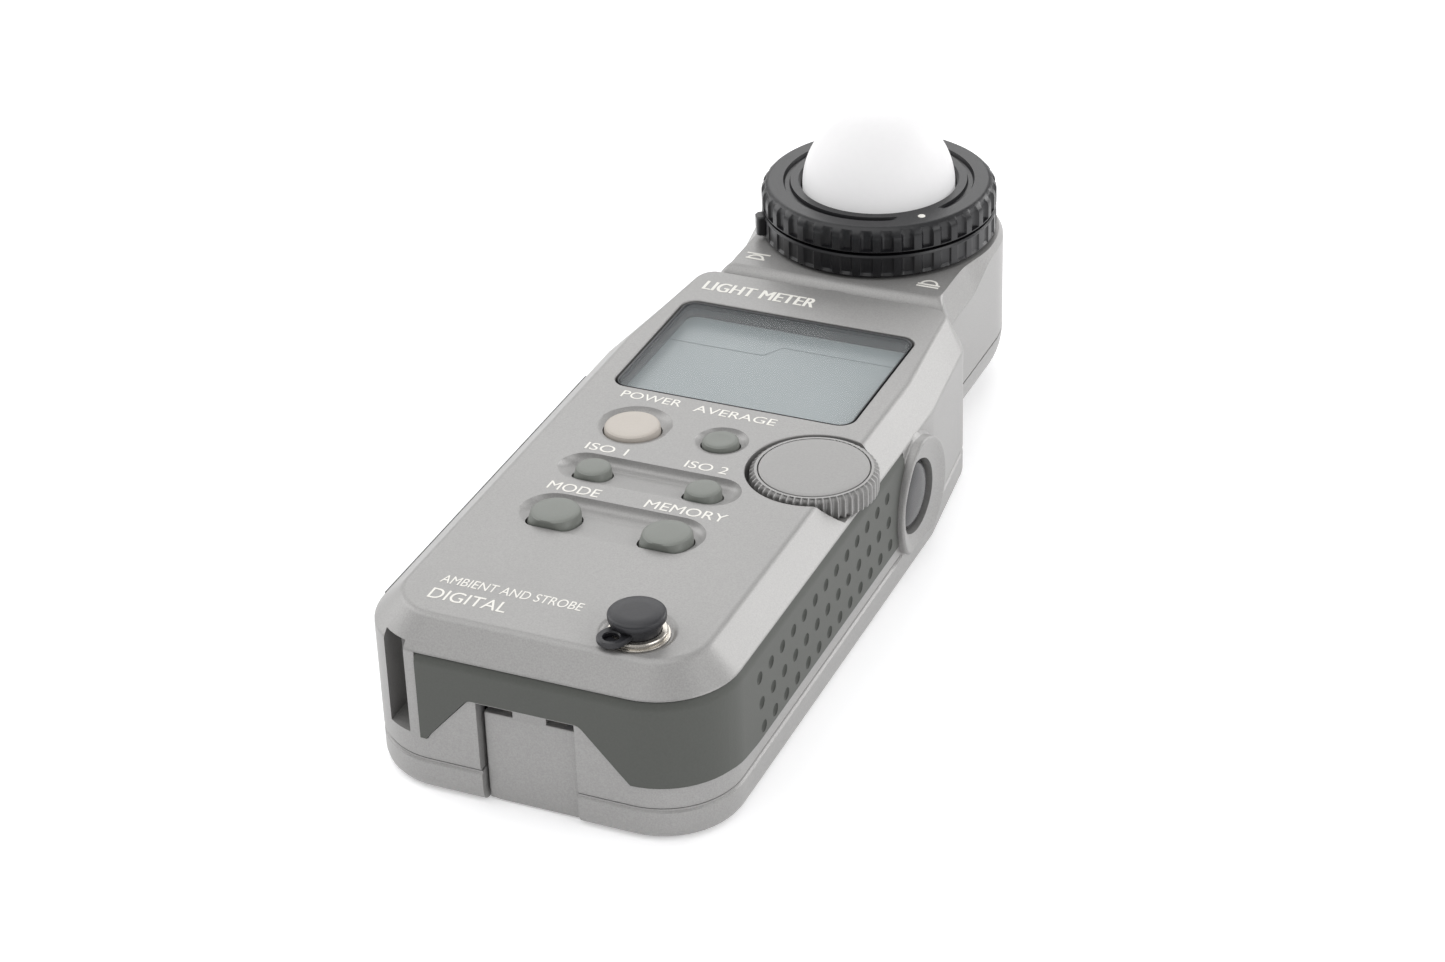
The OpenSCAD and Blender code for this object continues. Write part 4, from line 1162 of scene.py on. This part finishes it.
build_front_shell()
build_grips()
build_rear_cover()
build_battery_cover()
build_display()
build_keys()
build_jog()
build_measuring_button()
build_sync()
build_head_front()
build_head_rear()
build_retract_ring()
build_lock_ring()
build_dome()
build_labels()
build_icons()


# ---------------- floor, lights and camera

def build_floor():
    mesh = bpy.data.meshes.new("floor")
    reach = 4.0
    corners = [(-reach, -reach, 0), (reach, -reach, 0), (reach, reach, 0), (-reach, reach, 0)]
    mesh.from_pydata(corners, [], [(0, 1, 2, 3)])
    floor = bpy.data.objects.new("floor", mesh)
    floor.location.z = min(cad_box[0].z, 0) - 0.0001
    bpy.context.scene.collection.objects.link(floor)
    mesh.materials.append(surface("floor_white", (246, 246, 247), 0.6, grain=40, mottle=0.004, relief=0,
                                  cloud=3, cloudiness=0.004, sockets=lit(0.3)))


def area_light(name, at, aim, size, power):
    """Soft box at a place, turned to a place, in metres and watts."""
    light = bpy.data.lights.new(name, "AREA")
    light.shape = "RECTANGLE"
    light.size, light.size_y = size
    light.energy = power
    lamp = bpy.data.objects.new(name, light)
    lamp.location = at
    lamp.rotation_euler = (Vector(aim) - Vector(at)).to_track_quat("-Z", "Y").to_euler()
    bpy.context.scene.collection.objects.link(lamp)


def build_lights():
    world = bpy.data.worlds.new("studio")
    world.use_nodes = True
    background = world.node_tree.nodes["Background"]
    background.inputs["Color"].default_value = (1, 1, 1, 1)
    background.inputs["Strength"].default_value = 0.46
    bpy.context.scene.world = world
    bpy.context.scene.view_settings.view_transform = "Standard"
    aim = (0, 0.01, 0.02)
    area_light("top_box", (-0.3, -0.3, 1.6), aim, (1.8, 1.8), 13)
    area_light("left_box", (-1.3, 0.2, 0.7), aim, (1.0, 1.0), 7)
    area_light("right_box", (1.3, -0.1, 0.8), aim, (0.9, 0.7), 5)
    area_light("corner_box", (0.75, 1.2, 0.57), aim, (0.8, 0.6), 7)
    area_light("back_box", (-0.6, 1.25, 0.8), aim, (1.2, 0.8), 5)


def build_camera():
    azimuth, elevation, roll = radians(24.32), radians(30.93), radians(-2.08)
    aim = Vector((0.0082, -0.0051, 0.0277))
    distance = 0.5122
    back = Vector((sin(azimuth) * cos(elevation), -cos(azimuth) * cos(elevation), sin(elevation)))
    data = bpy.data.cameras.new("camera")
    data.sensor_width = 36
    data.lens = 85.6
    data.clip_start = 0.01
    camera = bpy.data.objects.new("camera", data)
    camera.location = aim + back * distance
    camera.rotation_mode = "QUATERNION"
    camera.rotation_quaternion = (-back).to_track_quat("-Z", "Y") @ Quaternion((0, 0, 1), roll)
    bpy.context.scene.collection.objects.link(camera)
    bpy.context.scene.camera = camera


build_floor()
build_lights()
build_camera()

bpy.context.view_layer.update()
